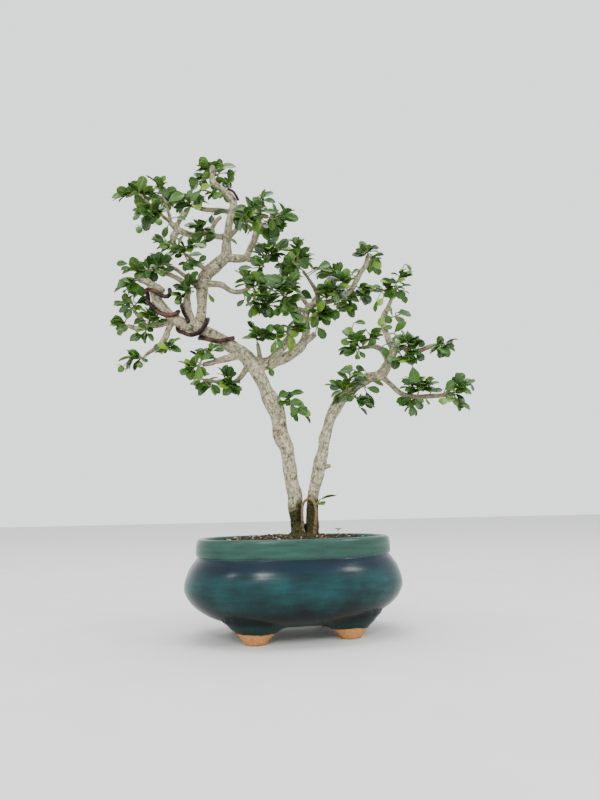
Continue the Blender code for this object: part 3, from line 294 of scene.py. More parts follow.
# Leafy shoots. Each spray is one node: the branch it grows from, the point of that branch in the
# front view, and its shoots, each given by its tip (across, down, back) and its number of leaves.
SPRAYS = {
    "apex_top": ("leader", (212.5, 173), ((219.5, 168.5, -3, 3), (206, 169, -15, 3), (198, 182, -20, 3))),
    "apex_right": ("leader", (224, 191), ((228, 179, 2, 3), (214, 194, -26, 2))),
    "crown_left": ("top_left", (195, 207.5), ((179, 202, 12, 4), (197, 198, -4, 2))),
    "high_left": ("twig_up", (163, 197), ((158, 184, -10, 4), (167, 201, 0, 2))),
    "far_left": ("twig_far", (144, 199), ((125, 196, -31, 3), (138, 191, -22, 3), (150, 194, -14, 2))),
    "far_left_low": ("twig_far", (155, 209), ((146, 218, -36, 4), (157, 214, -38, 2))),
    "knob_spray": ("side_knob", (173, 243), ((165, 243, -24, 4),)),
    "inner_left": ("side_left", (203, 234), ((198, 228, -24, 4), (206, 245, -24, 2))),
    "fore_left_spray": ("fore_left", (186, 254),
        ((178, 249, -46, 3), (190, 246, -46, 2), (190, 266, -42, 2))),
    "top_right_end": ("top_right", (268, 217), ((285, 215, -15, 4), (263, 203, -18, 2))),
    "top_right_low": ("top_right", (248, 213), ((245, 223, -24, 4), (256, 224, -20, 2))),
    "bough_spray": ("bough", (263, 223.5), ((272, 229, 18, 4), (278, 222, 10, 2))),
    "bough_right_spray": ("bough_right", (261, 258),
        ((269, 248, -20, 3), (279, 251, -26, 3), (263, 267, -28, 3))),
    "rear_top_spray": ("rear_top", (247, 215), ((257, 209, 48, 4), (247, 224, 50, 2))),
    "crown_spray": ("crown_stem", (303, 271), ((299, 243, -10, 3), (303, 259, 6, 3), (287, 266, -16, 3))),
    "fore_spray": ("fore_stem", (286, 299), ((276, 287, -46, 3), (290, 284, -46, 3), (289, 313, -40, 3))),
    "rear_spray": ("rear_stem", (331, 278), ((324, 269, 60, 4), (340, 273, 60, 2))),
    "cross_top": ("cross_branch", (327, 302), ((327, 290, 2, 4), (336, 291, -6, 2))),
    "cross_low": ("cross_branch", (318, 304), ((327, 315, 6, 4), (317, 318, -2, 2))),
    "cross_low_right": ("cross_branch", (344, 296), ((346, 308, 24, 4),)),
    "cross_crown": ("cross_branch", (349, 291.5), ((343, 280, 4, 4),)),
    "cross_tip": ("cross_end", (367.5, 255), ((367, 251, 5, 4), (374, 266, 4, 2))),
    "cross_side": ("cross_branch", (354, 285), ((362, 295, 16, 3),)),
    "cross_up_spray": ("cross_up", (293, 285), ((281, 276, 36, 4), (293, 270, 38, 2))),
    "cross_left_spray": ("cross_left", (274, 306), ((258, 303, -10, 4), (264, 295, -14, 2))),
    "inner_right_spray": ("inner_right", (249, 288.5),
        ((261, 282, -38, 3), (256, 296, -38, 3), (243, 276, -34, 3))),
    "riser_spray": ("riser", (153, 271.5), ((134, 269, 18, 3), (142, 274, 24, 3), (160, 266, 4, 3))),
    "riser_low": ("riser", (186.5, 296), ((189, 284, -10, 3), (181, 296, -12, 2))),
    "limb_spray": ("limb_tip", (139, 281), ((131, 287, -12, 4),)),
    "rear_left_spray": ("rear_left", (163, 263), ((148, 267, 30, 4), (162, 258, 30, 2))),
    "low_left_tip": ("low_left", (128, 325.5), ((121, 323, 9, 4),)),
    "low_left_high": ("low_left_up", (134, 311), ((126, 304, 12, 4), (139, 301, 4, 2))),
    "low_left_mid": ("low_left", (152, 326), ((152, 316, -8, 4), (144, 336, -10, 2))),
    "low_left_hang": ("low_left_down", (145, 355.5), ((133, 357, -23, 4),)),
    "low_left_inner": ("low_left_down", (161, 344), ((170, 351, -25, 4),)),
    "low_front_spray": ("low_front", (203, 364.5), ((191, 369, -34, 4), (207, 351, -32, 2))),
    "low_rear_spray": ("low_rear", (205, 379.5), ((195, 379, 21, 3), (211, 387, 26, 2))),
    "low_rear_mid": ("low_rear", (231, 382.5), ((231, 385, 4, 4), (224, 376, 0, 2))),
    "short_spray": ("short_twig", (257.5, 343), ((256, 332, -21, 4), (267, 335, -24, 2))),
    "pale_spray": ("pale_branch", (291, 335), ((296, 326, -22, 4), (280, 337, -26, 2))),
    "trunk_spray": ("left_trunk", (274, 400), ((297, 413, -8, 4),)),
    "up_right_spray": ("up_right", (393.5, 292),
        ((402, 271, 30, 3), (382, 291, 18, 3), (401, 294, 34, 2))),
    "up_right_low": ("up_right", (384, 317), ((401, 314, 20, 3),)),
    "up_right_foot": ("up_right", (387, 335), ((400, 338, 13, 4),)),
    "mid_left_spray": ("mid_left", (363, 348),
        ((353, 349, -12, 3), (352, 338, -16, 3), (371, 337, -8, 3))),
    "mid_right_spray": ("mid_right", (441, 344.5), ((441, 348.5, -34, 4),)),
    "mid_right_low": ("mid_right", (410, 352), ((407, 342, -18, 3), (402, 360, -16, 2))),
    "low_right_top": ("low_right", (417, 397), ((414, 381, 0, 4), (426, 386, 2, 2))),
    "low_right_under": ("low_right", (411, 396.5), ((411, 404.5, 12, 4),)),
    "low_right_spray": ("low_right", (450, 390), ((463, 386, 8, 4), (456, 403, 8, 3))),
    "low_rear_right_spray": ("low_rear_right", (351, 391),
        ((339, 388, -14, 3), (350, 375, -16, 3), (363, 403, -16, 3))),
    "trunk_foot_spray": ("right_trunk", (312, 503), ((320, 499.5, -9, 2),)),
}
# Shoots, in millimetres: thickness at both ends, how near the branch's end one grows out of it, where they
# fork and bend, and how far the tip moves back or forward to come clear
SHOOT_START = 2.2
SHOOT_END = 1.8
SHOOT_SIDES = 3
END_REACH = 1.5
BARK_REACH = 12
SHOOT_FORK = 0.85
SHOOT_KNEE = 0.35
SHOOT_BENDS = (0, 6, -6, 12, -12, 18, -18, 24, -24)
# Leaves, in millimetres and degrees
LEAF_SEED = 41
LEAF_LENGTH = (11.5, 16.5)
LEAF_WIDTH_SHARE = (0.56, 0.7)
LEAF_THICK = 0.7
LEAF_FOLD = 0.22
LEAF_ARCH = (0.05, 0.22)
LEAF_SPREAD = (78, 28)
LEAF_FLAT = 0.55
LEAF_RISE = 0.14
LEAF_PLACES = (0.35, 0.94)
# A leaf faces up, a little along its stem, and forward, more or less
LEAF_UP = 0.8
LEAF_AHEAD = 0.3
LEAF_TURN = 137.5
LEAF_RETRY = 47
LEAF_FORWARD = 0.42
LEAF_SWAY = 0.55
LEAF_TRIES = 24
LEAF_FOOT = 0.14
LEAF_CLEAR = 0.5
TOOTHED_SHARE = 0.1

# Both kinds of blade: points round the leaf from its foot, as shares of its length and half width,
# and the flat faces between them
ROUND_LEAF = ((0, 0), (0.55, 0.96), (1.0, 0.5), (1.0, -0.5), (0.55, -0.96))
ROUND_BLADE = ((0, 1, 4), (1, 2, 3, 4))
TOOTHED_LEAF = (
    (0, 0), (0.45, 0.84), (0.92, 0.9), (0.84, 0.4), (1.0, 0), (0.84, -0.4), (0.92, -0.9), (0.45, -0.84))
TOOTHED_BLADE = ((0, 1, 7), (1, 2, 3), (1, 3, 5, 7), (3, 4, 5), (5, 6, 7))
# The real leaf: its half width at shares of its length, and the rows and columns of its mesh
LEAF_PROFILE = (
    (0, 0.06), (0.08, 0.07), (0.15, 0.2), (0.25, 0.46), (0.37, 0.74), (0.49, 0.92), (0.6, 1.0), (0.71, 1.0),
    (0.81, 0.9), (0.9, 0.7), (0.96, 0.45), (1.0, 0.14))
LEAF_ROWS = 11
LEAF_COLUMNS = 7
# Its curl, its waves, the teeth at its tip (where they start, how deep and how close they are), how much
# its tip is notched, and how high it rises between its side veins, in millimetres
LEAF_CURL = (-0.04, 0.1)
LEAF_WAVES = 11
TEETH_FROM = 0.6
TEETH_DEPTH = 0.11
TEETH_REPEATS = 46
NOTCH_DEPTH = 0.045
LEAF_PUCKER = 0.22
# Side veins: how far they slant forward, and their spacing as a share of the leaf
VEIN_SLANT = 0.3
VEIN_SPACING = 0.07
# Age from 0, old, to 1, young: its middle and its spread. Edges sharper than these degrees stay sharp.
LEAF_AGE = (0.42, 0.24)
LEAF_SHARP = 60
LOOKS_SEED = 300
# The shown shoots' radius, as a share of the CAD part's diameter
STEM_SHARE = 0.36
# Leaves that stand out in the front view: foot and tip (across, down), and how wide the view shows them
READ_LEAVES = (
    (142, 184, 130, 183, 6), (129, 191.3, 111, 196.5, 4.5), (159.3, 183, 165.4, 176.4, 5),
    (159.5, 183.5, 155.3, 176.4, 6), (148, 187, 134.5, 188.5, 7), (148, 191.7, 133.7, 198, 7),
    (153, 196.5, 138.5, 203.7, 8), (149.7, 188.5, 155.3, 201.3, 7), (160, 184.5, 168, 196.5, 6.5),
    (167.3, 203, 183.3, 192, 8.5), (194.6, 188.5, 185.7, 196.5, 4.5), (200.6, 182, 187.8, 180.4, 8.5),
    (205.8, 174, 196, 175.3, 3.5), (210.6, 170.8, 202.6, 164.4, 8), (202.6, 190, 189.7, 199, 6),
    (193, 206, 173, 205.3, 6), (193, 206, 203.8, 196.8, 7), (142, 214, 133, 219.2, 4.5),
    (148, 211.7, 138.5, 209.3, 7), (162.5, 211.7, 149, 213.3, 4), (149, 217.3, 145, 230.4, 8.5),
    (164, 236.5, 153.7, 239.7, 5.5), (168, 225.3, 163.3, 236.5, 6), (166.5, 239.7, 161.7, 248.6, 8),
    (174.5, 217.3, 185.7, 218.6, 4), (204.2, 231.7, 195.4, 225.3, 8), (206.6, 232.5, 192, 239.7, 7),
    (216, 170, 234.5, 162, 6), (224, 177.2, 230.4, 187, 6.5), (224, 192.5, 212, 197.3, 6),
    (212.8, 184.5, 200, 188.5, 6), (260, 198, 273, 191, 5), (261.7, 200.5, 275.3, 199.7, 5),
    (261.7, 202, 252, 198, 5), (264, 208.5, 253, 202, 6), (261.7, 211.7, 276, 211, 5),
    (278.5, 213.8, 287.8, 210.6, 4), (280, 216.5, 298.2, 219, 8.5), (277, 224.5, 273, 239, 10.5),
    (276, 224.5, 287.3, 224.5, 5), (260, 233.3, 270.5, 239.7, 5), (228.8, 210, 212.8, 212.5, 5),
    (232, 210, 246.5, 206, 6), (240, 219, 237.7, 230, 8), (253.7, 218, 257.7, 231, 8),
    (212, 214, 211.2, 223.7, 6), (259.3, 243, 267.3, 249.4, 8), (277, 243, 289, 241.3, 7),
    (275.3, 242, 267.3, 247.8, 6), (296, 246, 294.6, 236.5, 6), (225.6, 237.3, 237.7, 241.7, 2.5),
    (128.8, 264, 116, 262.8, 6), (128.8, 264, 134, 258, 5.5), (162.5, 265.6, 169.7, 255.7, 8),
    (163.3, 269.6, 174, 268.5, 6), (138.5, 277.7, 116.3, 285.2, 9), (132, 281.3, 113, 290.5, 3.5),
    (132, 270.4, 121.2, 272, 3.5), (143.3, 269.6, 137.7, 264, 6), (156, 274.5, 145, 274.5, 7),
    (184, 271.3, 193, 263.2, 7), (185, 283.3, 196.2, 278.5, 6.5), (183.3, 254.4, 175, 256.8, 5),
    (184, 247.2, 197, 246, 3.5), (191.3, 250.4, 177, 252, 3.5), (197.8, 262.4, 205.8, 256, 6),
    (133, 300, 139.7, 286.5, 5.5), (136, 303.3, 148, 296.4, 6), (126.4, 304, 112.8, 302.5, 5.5),
    (132, 305, 118.4, 311.3, 6), (125.6, 321, 131.2, 311.3, 5), (123.2, 320, 113.6, 317, 4),
    (123.2, 323.3, 111, 323.6, 5), (126.4, 327.3, 115.2, 329, 5.5), (137.7, 331.3, 136, 340, 7.5),
    (133.7, 325, 139.3, 318.5, 5.5), (144, 316, 152, 310.5, 5), (148, 322.5, 156, 315.3, 7),
    (156, 322.5, 166.5, 319.3, 4), (180, 293, 177.7, 304, 7), (207.7, 293, 213.5, 302.5, 4),
    (268.5, 252, 254.4, 246.4, 9), (264.5, 266.4, 250.8, 257.6, 11), (254, 268, 238, 267.2, 5),
    (268.5, 249.6, 275, 241.6, 6), (278, 248.8, 288.5, 240.8, 8), (294, 264, 289.3, 250.4, 8),
    (299, 249.6, 309.3, 249.6, 6), (297.3, 257.6, 307.7, 268, 8), (316.5, 268.8, 330.2, 262, 6.5),
    (317.3, 269.6, 332.6, 269.6, 3.5), (327.8, 274.5, 342.2, 271.3, 7), (345.4, 280, 346.2, 268.8, 8),
    (327.8, 277.7, 318, 275.3, 6), (350, 285.7, 339, 285, 6), (326.2, 293, 317.3, 284, 7),
    (334.2, 291.3, 334.2, 281, 3.5), (334.2, 301.7, 339, 294.5, 6.5), (284.5, 277.7, 295.7, 285.7, 10),
    (263.7, 277, 283, 278.5, 8), (268.5, 282.5, 260.4, 276, 7), (242, 279.3, 251.6, 274.5, 5),
    (242.8, 280, 250.8, 284, 6), (245.2, 299.3, 237.2, 305.7, 5), (252.4, 297, 242.8, 292, 5.5),
    (250.8, 307.3, 250, 317, 5), (255.6, 305.7, 259.7, 312, 4), (283, 294.5, 285.3, 314.5, 10),
    (291, 296, 294, 315.3, 10), (313.3, 299.3, 300.5, 291.3, 9), (327.8, 309, 339, 317.7, 10),
    (319.7, 310.5, 329.4, 325, 9), (317.3, 326.5, 324.6, 337.8, 9), (300.5, 326.5, 291, 336.2, 9),
    (297.3, 317, 283.7, 333, 4), (271.7, 334.5, 270, 323.3, 7), (278, 334.5, 283, 327.3, 6),
    (260.4, 336.2, 247.6, 334.5, 6), (266, 336, 260.4, 329.7, 6), (368, 249.5, 379, 245.5, 5),
    (365.7, 251, 361.6, 245, 5.5), (363, 252.2, 356.6, 249.5, 5), (362.3, 254, 352.2, 254.6, 4.5),
    (371, 266.3, 381.8, 262.3, 11), (351, 274.4, 359, 268.4, 4), (346.2, 277, 346.8, 268.4, 7),
    (352.2, 288, 338.7, 283.8, 6), (357, 293.3, 366.3, 290.6, 5.5), (359.6, 300, 372.4, 299.3, 9),
    (381.8, 287.2, 374.4, 285.5, 4), (396, 281.8, 390.6, 279.8, 5), (396.6, 281.8, 403.4, 278.7, 4),
    (398.6, 289.2, 402.7, 298.4, 9), (394.6, 289.2, 384.5, 296, 7), (395.3, 288, 405.4, 287.2, 2),
    (405.4, 263.6, 411.4, 268.8, 3), (377, 300, 374.4, 311.4, 4), (383.8, 297.3, 377.8, 305.4, 6),
    (395.3, 312.8, 412, 312.8, 6), (383.8, 316, 379.8, 324.2, 7), (385.5, 314, 390.6, 323, 7),
    (381.8, 329, 392.6, 326.2, 5), (353, 323, 365.7, 321.5, 5), (346.2, 310.8, 351.5, 307.4, 3),
    (332.7, 308, 338, 323, 9), (405.5, 348.8, 417.6, 343.5, 8), (417.6, 347.5, 425, 342.8, 4.5),
    (436.4, 344, 441.8, 336.5, 6.5), (444.5, 345, 453.3, 346, 6.5), (435.8, 349.5, 445.5, 355.8, 5),
    (415.6, 354.2, 423.6, 359, 8.5), (412.2, 355.6, 402.8, 360.3, 8), (398, 355.6, 394, 369, 9),
    (412.2, 365.3, 415.6, 382.5, 11), (410.2, 386.5, 404, 379, 6), (410.2, 387.2, 400, 387.2, 2),
    (421.6, 383.8, 432.4, 381.8, 7), (423.6, 392, 419, 383.2, 8), (430.4, 392, 442.5, 389.2, 5),
    (443.8, 391.2, 455.3, 381, 9.5), (459.3, 381.8, 462.7, 372.8, 8), (461.3, 381.8, 470.8, 383.8, 4),
    (470.8, 383.2, 473.4, 390, 3.5), (449.2, 397.3, 464.7, 406.7, 8.5), (443.8, 397, 442.5, 404.3, 9),
    (411.5, 398, 403.5, 404, 8), (415.6, 400.7, 421.6, 408, 8), (413, 405.4, 411.5, 414, 7),
    (425, 398, 429, 404, 3), (200.4, 360.5, 211.2, 352.5, 7), (212.4, 351, 210.8, 342.8, 6),
    (212.4, 351, 223.7, 348.5, 5), (196.4, 360.5, 202, 350, 7), (199.6, 351, 211.6, 348.5, 3.5),
    (198, 364.5, 199.6, 380.5, 8), (210.8, 383, 219.6, 393, 7), (236.5, 381.3, 220.4, 383, 7),
    (233.3, 387, 226, 394, 6), (233.3, 384.5, 241.3, 390, 5), (277.3, 337.2, 281.3, 347, 6),
    (276.5, 338.8, 271.7, 353.3, 6), (269.3, 367.7, 272.5, 375, 6), (294.2, 339.6, 289.4, 351, 6),
    (277.3, 398, 286.2, 391.4, 8), (283.8, 398, 291.8, 393.3, 7), (287.8, 403, 299.8, 401.3, 8),
    (289.4, 405.3, 297.4, 414.2, 8), (299, 407.7, 306.2, 412.6, 8), (302.6, 413.4, 311.8, 421.5, 3),
    (350, 344.8, 341.3, 340.3, 7), (356.5, 341.8, 349, 332.2, 9), (354.3, 352.2, 343.2, 353, 8),
    (358.7, 350.7, 364.7, 357.3, 5), (356.5, 352.2, 359.5, 358, 3), (366, 346.2, 376.5, 339.6, 7),
    (382.4, 346.2, 387.5, 355, 7), (384, 344.8, 395.7, 343.3, 4), (398.6, 336, 410.4, 337.4, 5),
    (355.8, 370, 339.5, 370.6, 6), (369, 381, 352.8, 372.8, 9), (366, 371.4, 355.8, 366.2, 6),
    (341, 389, 329.5, 387, 6), (354.3, 386, 341.8, 384, 7), (345.5, 396.5, 332.2, 401, 5),
    (366, 390.6, 371.3, 408.3, 10), (365.4, 387.6, 380.2, 390.6, 7), (372, 381.7, 384, 384, 4),
    (361, 393.5, 361.7, 406.8, 8), (354.3, 392, 348.4, 401, 7), (358.7, 406.8, 368, 413, 3))
# In millimetres: how far such a leaf stands in front of its twig, the least length it may have, how far
# it moves forward at each try to come clear, and its stalk's thickness and joint
READ_FRONT = 2.0
READ_LEAST = 10.0
READ_FORWARD = 2.5
READ_TRIES = 6
READ_STALK = 1.1
READ_JOINT = 0.5
READ_KNEE = 0.55
# A leaf seen narrower than this share of its length is turned on edge
READ_NARROWEST = 0.5
# The farthest twig that may carry it, in millimetres, and how much a twig's depth counts in the choice
READ_FAR = 26
READ_DEPTH_SHARE = 0.12
# Small leaves that fill up the sprays, and the sprays that get none
COMPANION_SEED = 977
BARE_SPRAYS = ("trunk_foot_spray", "up_right_low", "up_right_foot")
# Those with twice as many, where the crown is dense
DENSE_SPRAYS = (
    "crown_spray", "fore_spray", "rear_spray", "cross_top", "cross_low", "cross_low_right", "cross_side",
    "cross_up_spray", "cross_left_spray", "rear_top_spray", "bough_spray", "far_left_low",
    "low_right_top", "mid_right_low")
COMPANION_TRIES = 10
COMPANION_LENGTH = (9.0, 15.0)
COMPANION_ARCH = (0.06, 0.3)
COMPANION_FORWARD = 0.45
COMPANION_SWAY = 0.7

# Berries: the spray, the berry's place in the front view (across, down, back) and its diameter
BERRIES = (
    ("apex_right", (230, 172, 4), 5.8), ("far_left_low", (139, 230, -42), 6),
    ("far_left_low", (159, 222, -44), 6.4), ("low_left_hang", (121, 369, -25), 6),
    ("low_left_hang", (140, 365, -27), 5.6), ("riser_low", (177, 302, -20), 5),
    ("crown_spray", (301, 243, -8), 5))
STALK_RISE = 1.0
STALK_STARTS = (0.55, 0.8, 0.97)
BERRY_STALK = 0.45
BERRY_TIP = 0.22
WHISKERS = 8
WHISKER_WIDTHS = (0.26, 0.28, 0.26, 0.22, 0.18, 0.13, 0.09)

# Finishes of two tones. Each has its name, the setting of its first tone, its second tone, the spacing of
# its patches in millimetres, its roughness from patch to patch, and its relief in millimetres.
# The soil's, in the order of its slots:
SOIL_FINISHES = (
    # Humus, sieved: dark and crumbly
    ("humus_sieved", "humus", "#33291f", 2.4, (0.85, 1.0), 0.6),
    # Lava, crushed: dark, rough and porous
    ("lava_crushed", "lava", "#443a34", 0.9, (0.8, 0.95), 0.3),
    # Clay, baked and broken: reddish and dusty
    ("clay_baked", "baked", "#7c5f47", 1.2, (0.8, 0.95), 0.2),
    # Pumice, broken: pale and porous
    ("pumice_broken", "pumice", "#7d7466", 1.0, (0.8, 0.95), 0.3),
    # Moss, grown: soft and olive green
    ("moss_grown", "moss", "#4f5226", 2.0, (0.85, 1.0), 0.4),
    # Seedling, grown: soft and yellow green
    ("seedling_grown", "seedling", "#a3b056", 1.5, (0.5, 0.65), 0.1))
# The sprays', after the two faces of the leaves:
SHOOT_SLOT, BERRY_SLOT, SEPAL_SLOT = 2, 3, 4
SHOOT_FINISHES = (
    # Green wood, grown: thin bark over green
    ("green_shoot_grown", "shoot", "#8d8763", 2.2, (0.55, 0.75), 0.2),
    # Berry skin, grown: smooth and a little waxy
    ("berry_skin_grown", "berry", "#557a28", 3.5, (0.28, 0.4), 0.05),
    # Sepal, dried: thin, brown and matt
    ("sepal_dried", "sepal", "#6a6438", 1.0, (0.7, 0.85), 0.1))
# Light passes a little way into a leaf, green the farthest
LEAF_LIGHT = {
    "IOR": 1.45, "Subsurface Weight": 0.25, "Subsurface Radius": (0.5 * MM, 0.9 * MM, 0.15 * MM),
    "Subsurface Scale": 1.0}
# Half the floor, where the lights aim, and the lights, in metres before the pot is turned: name, place,
# width, setting of the power, and what it is divided by
FLOOR_HALF = 6
LIGHT_AIM = Vector((0, 0, 0.15))
LIGHTS = (
    ("soft_box_middle", (-0.10, -1.44, 0.95), 0.33, "key", 1),
    ("soft_box_right", (1.27, -0.68, 0.95), 0.38, "key", 1),
    ("soft_box_left", (-0.94, -1.09, 0.95), 0.24, "key", 3),
    ("top_light", (-0.1, -0.1, 2.0), 1.4, "top", 1))
# The glaze's levels wander by so many millimetres
GLAZE_WANDER = 7
# Settings that many nodes share
RGBA = {"data_type": "RGBA"}
SMOOTH = {"interpolation_type": "SMOOTHSTEP"}
TIMES = {"operation": "MULTIPLY"}
TIMES_PLUS = {"operation": "MULTIPLY_ADD"}
PLUS = {"operation": "ADD"}
MINUS = {"operation": "SUBTRACT"}


def linear(colour):
    """An sRGB hex colour as linear red, green, blue and full alpha."""
    values = [int(colour[place:place + 2], 16) / 255 for place in (1, 3, 5)]
    return [v / 12.92 if v <= 0.04045 else ((v + 0.055) / 1.055) ** 2.4 for v in values] + [1.0]


def tint(name, colour, description):
    """A colour setting with its sRGB default."""
    return bpy.props.FloatVectorProperty(
        name=name, description=description, default=linear(colour), size=4, min=0.0, max=1.0, subtype="COLOR")


def size(name, millimetres, description):
    """A length setting with its default in millimetres."""
    return bpy.props.FloatProperty(
        name=name, description=description, default=millimetres * MM, min=0.0, precision=5, unit="LENGTH")


def share(name, default, description):
    """A setting from 0 to 1."""
    return bpy.props.FloatProperty(
        name=name, description=description, default=default, min=0.0, max=1.0, subtype="FACTOR")


def count(name, default, description):
    """A whole number of repeats."""
    return bpy.props.IntProperty(name=name, description=description, default=default, min=0)


class BonsaiPotSettings(bpy.types.PropertyGroup):
    """Glaze and clay of the pot."""

    rim: tint("Rim glaze", "#25443b", "Thin green glaze on the rolled rim")
    shoulder: tint("Shoulder glaze", "#031724", "Blue glaze that gathers under the rim")
    belly: tint("Belly glaze", "#08292c", "Dark teal glaze of the belly")
    cloud: tint("Clouds", "#123c3d", "Lighter green clouds in the glaze")
    # Darkest low on the pot, where the belly turns under: partly the glaze's own darker colour, partly
    # painted shade
    under: tint("Under glaze", "#010a0d", "Thick dark glaze low on the pot")
    foot: tint("Foot glaze", "#0e2724", "Thin glaze where it runs out on the feet")
    clay: tint("Clay", "#cf9a62", "Bare fired clay of the feet")
    thrown: size("Hand finish", 0.25, "How far the wall wanders from a true oval")
    gloss: share("Glaze roughness", 0.2, "Roughness of the fired glaze")


class BonsaiWoodSettings(bpy.types.PropertyGroup):
    """Bark of the trunks and branches."""

    grid: size("Surface grid", 0.72, "Grid on which trunks and branches grow together")
    fissure: size("Fissure depth", 0.6, "Depth of the cracks in the bark")
    lump: size("Lumps", 1.0, "Height of the lumps along the trunks")
    pale: tint("Pale bark", "#bab698", "Dry outer bark")
    mid: tint("Grey bark", "#857f69", "Weathered bark")
    crack: tint("Cracks", "#3a3323", "Dark bark in the cracks")
    warm: tint("Warm bark", "#b59a82", "Pinkish patches on the limbs")
    twig: tint("Twig bark", "#59533f", "Young wood, where a limb is thin")
    root: tint("Arched root", "#95805f", "Smooth tan skin of the arched root")
    damp: tint("Damp bark", "#211c11", "Dark damp bark just above the soil")
    moss: tint("Algae", "#43411d", "Green film on the damp bark")


class BonsaiWireSettings(bpy.types.PropertyGroup):
    """Finish of the training wires."""

    dark: tint("Anodised brown", "#1c1311", "Brown anodised skin")
    # Lighter brown patches on the wire: partly wear of the skin, partly painted sheen
    wear_and_sheen: tint("Worn brown", "#5d3a2f", "Lighter brown where the skin is worn")


class BonsaiLeafSettings(bpy.types.PropertyGroup):
    """Leaves, shoots and berries."""

    fuller: count("Leaves between", 3, "Small leaves added for each leaf of the CAD part")
    blade: size("Blade thickness", 0.36, "Thickness of a leaf at its middle")
    edge: size("Edge thickness", 0.14, "Thickness of a leaf at its edge")
    ripple: size("Edge ripple", 0.1, "Height of the waves along a leaf's edge")
    old: tint("Old leaf", "#152d0d", "Oldest, darkest leaves")
    grown: tint("Grown leaf", "#335a18", "Most leaves")
    young: tint("Young leaf", "#7f9f2a", "Youngest leaves")
    under: tint("Underside", "#56722f", "Pale lower face of the leaves")
    vein: tint("Vein", "#7f9a48", "Midrib and side veins")
    shoot: tint("Shoot", "#6f6a45", "Green wood of the shoots")
    berry: tint("Berry", "#35541d", "Unripe berries")
    sepal: tint("Sepal", "#2f2e1a", "Dry sepals round a berry")


class BonsaiSoilSettings(bpy.types.PropertyGroup):
    """Soil mix, grit and moss."""

    stones: count("Stones", 760, "Pieces of grit on the soil")
    stone: size("Stone size", 1.9, "Middle size of the grit")
    blades: count("Moss leaves", 900, "Small moss leaves round the trunks")
    humus: tint("Humus", "#1d1712", "Dark organic soil")
    lava: tint("Lava", "#2a2421", "Dark volcanic grit")
    baked: tint("Baked clay", "#5c4534", "Brown baked clay grit")
    pumice: tint("Pumice", "#a79f8e", "Pale pumice grit")
    moss: tint("Moss", "#34361a", "Low moss near the trunks")
    seedling: tint("Seedling", "#7d9638", "The small seedling in the soil")
    plastic: tint("Drain mesh", "#141515", "Black plastic mesh over the drain hole")


class BonsaiStageSettings(bpy.types.PropertyGroup):
    """Floor, light and camera."""

    floor: tint("Floor", "#d3d4d1", "Matt pale floor")
    sky: tint("Backdrop", "#d9dcdc", "Even light that comes from all round")
    glow: bpy.props.FloatProperty(
        name="Room light", description="Strength of the even light", default=2.35, min=0.0)
    key: bpy.props.FloatProperty(
        name="Soft boxes", description="Power of each soft box", default=8.5, min=0.0, unit="POWER")
    top: bpy.props.FloatProperty(
        name="Top light", description="Power of the wide light above", default=30.0, min=0.0, unit="POWER")


class BonsaiSettings(bpy.types.PropertyGroup):
    """All settings of the bonsai."""

    pot: bpy.props.PointerProperty(type=BonsaiPotSettings)
    wood: bpy.props.PointerProperty(type=BonsaiWoodSettings)
    wire: bpy.props.PointerProperty(type=BonsaiWireSettings)
    leaves: bpy.props.PointerProperty(type=BonsaiLeafSettings)
    soil: bpy.props.PointerProperty(type=BonsaiSoilSettings)
    stage: bpy.props.PointerProperty(type=BonsaiStageSettings)


def view_axes():
    """The front view's right, up and ahead directions."""
    right = Vector((1, 0, 0))
    ahead = Vector((0, math.cos(VIEW_PITCH), math.sin(VIEW_PITCH)))
    up = right.cross(ahead)
    leaning = math.cos(VIEW_ROLL) * right + math.sin(VIEW_ROLL) * up
    return leaning, leaning.cross(ahead), ahead


RIGHT, UP, AHEAD = view_axes()
TO_POT = Matrix.Rotation(-POT_TURN, 3, "Z")


def seen(across, down, back):
    """The point of the model that the front view shows there, at that depth."""
    ray = AHEAD * VIEW_FOCAL + RIGHT * (across - VIEW_MIDDLE[0]) + UP * (VIEW_MIDDLE[1] - down)
    reach = (back * MM - VIEW_EYE.y) / ray.y
    return TO_POT @ (VIEW_EYE + ray * reach)


def traced(route):
    """A route's points and radii."""
    return [seen(*entry[:3]) for entry in route], [entry[3] * MM / 2 for entry in route]


def ring_faces(rings, sides, closed=False):
    """Faces between rings of points. The last ring joins the first, or both ends are covered."""
    total = rings * sides
    faces = []
    for start in range(0, total if closed else total - sides, sides):
        above = (start + sides) % total
        for step in range(sides):
            after = (step + 1) % sides
            faces.append((start + step, start + after, above + after, above + step))
    if not closed:
        faces += [tuple(reversed(range(sides))), tuple(range(total - sides, total))]
    return faces


def side_to(along, last):
    """A direction square to a line's, turned from the last one no more than the line turns."""
    side = along.cross(ODD_WAY).normalized() if last is None else last
    return (side - along * side.dot(along)).normalized()


def tube_shape(points, radii, sides, turn=0.0):
    """Points and faces of a tube with flat ends that follows the points."""
    shape = []
    side = None
    for number, point in enumerate(points):
        before = points[max(number - 1, 0)]
        after = points[min(number + 1, len(points) - 1)]
        along = (after - before).normalized()
        side = side_to(along, side)
        up = along.cross(side)
        for step in range(sides):
            angle = turn + 2 * math.pi * step / sides
            shape.append(point + (side * math.cos(angle) + up * math.sin(angle)) * radii[number])
    return shape, ring_faces(len(points), sides)


def plan_ring(half_long, half_deep, height, count, power=PLAN_POWER, middle=(0, 0)):
    """A closed ring of points on the pot's squared oval plan, in millimetres."""
    ring = []
    for step in range(count):
        angle = 2 * math.pi * step / count
        across = math.copysign(abs(math.cos(angle)) ** (2 / power), math.cos(angle))
        deep = math.copysign(abs(math.sin(angle)) ** (2 / power), math.sin(angle))
        ring.append(Vector((middle[0] + half_long * across, middle[1] + half_deep * deep, height)) * MM)
    return ring


def sides_for(route):
    """Thick wood has more sides than thin wood."""
    thickest = max(entry[3] for entry in route)
    if thickest > TRUNK_LEAST and len(route) > 3:
        return TRUNK_SIDES
    return BRANCH_SIDES if thickest > BRANCH_LEAST else TWIG_SIDES


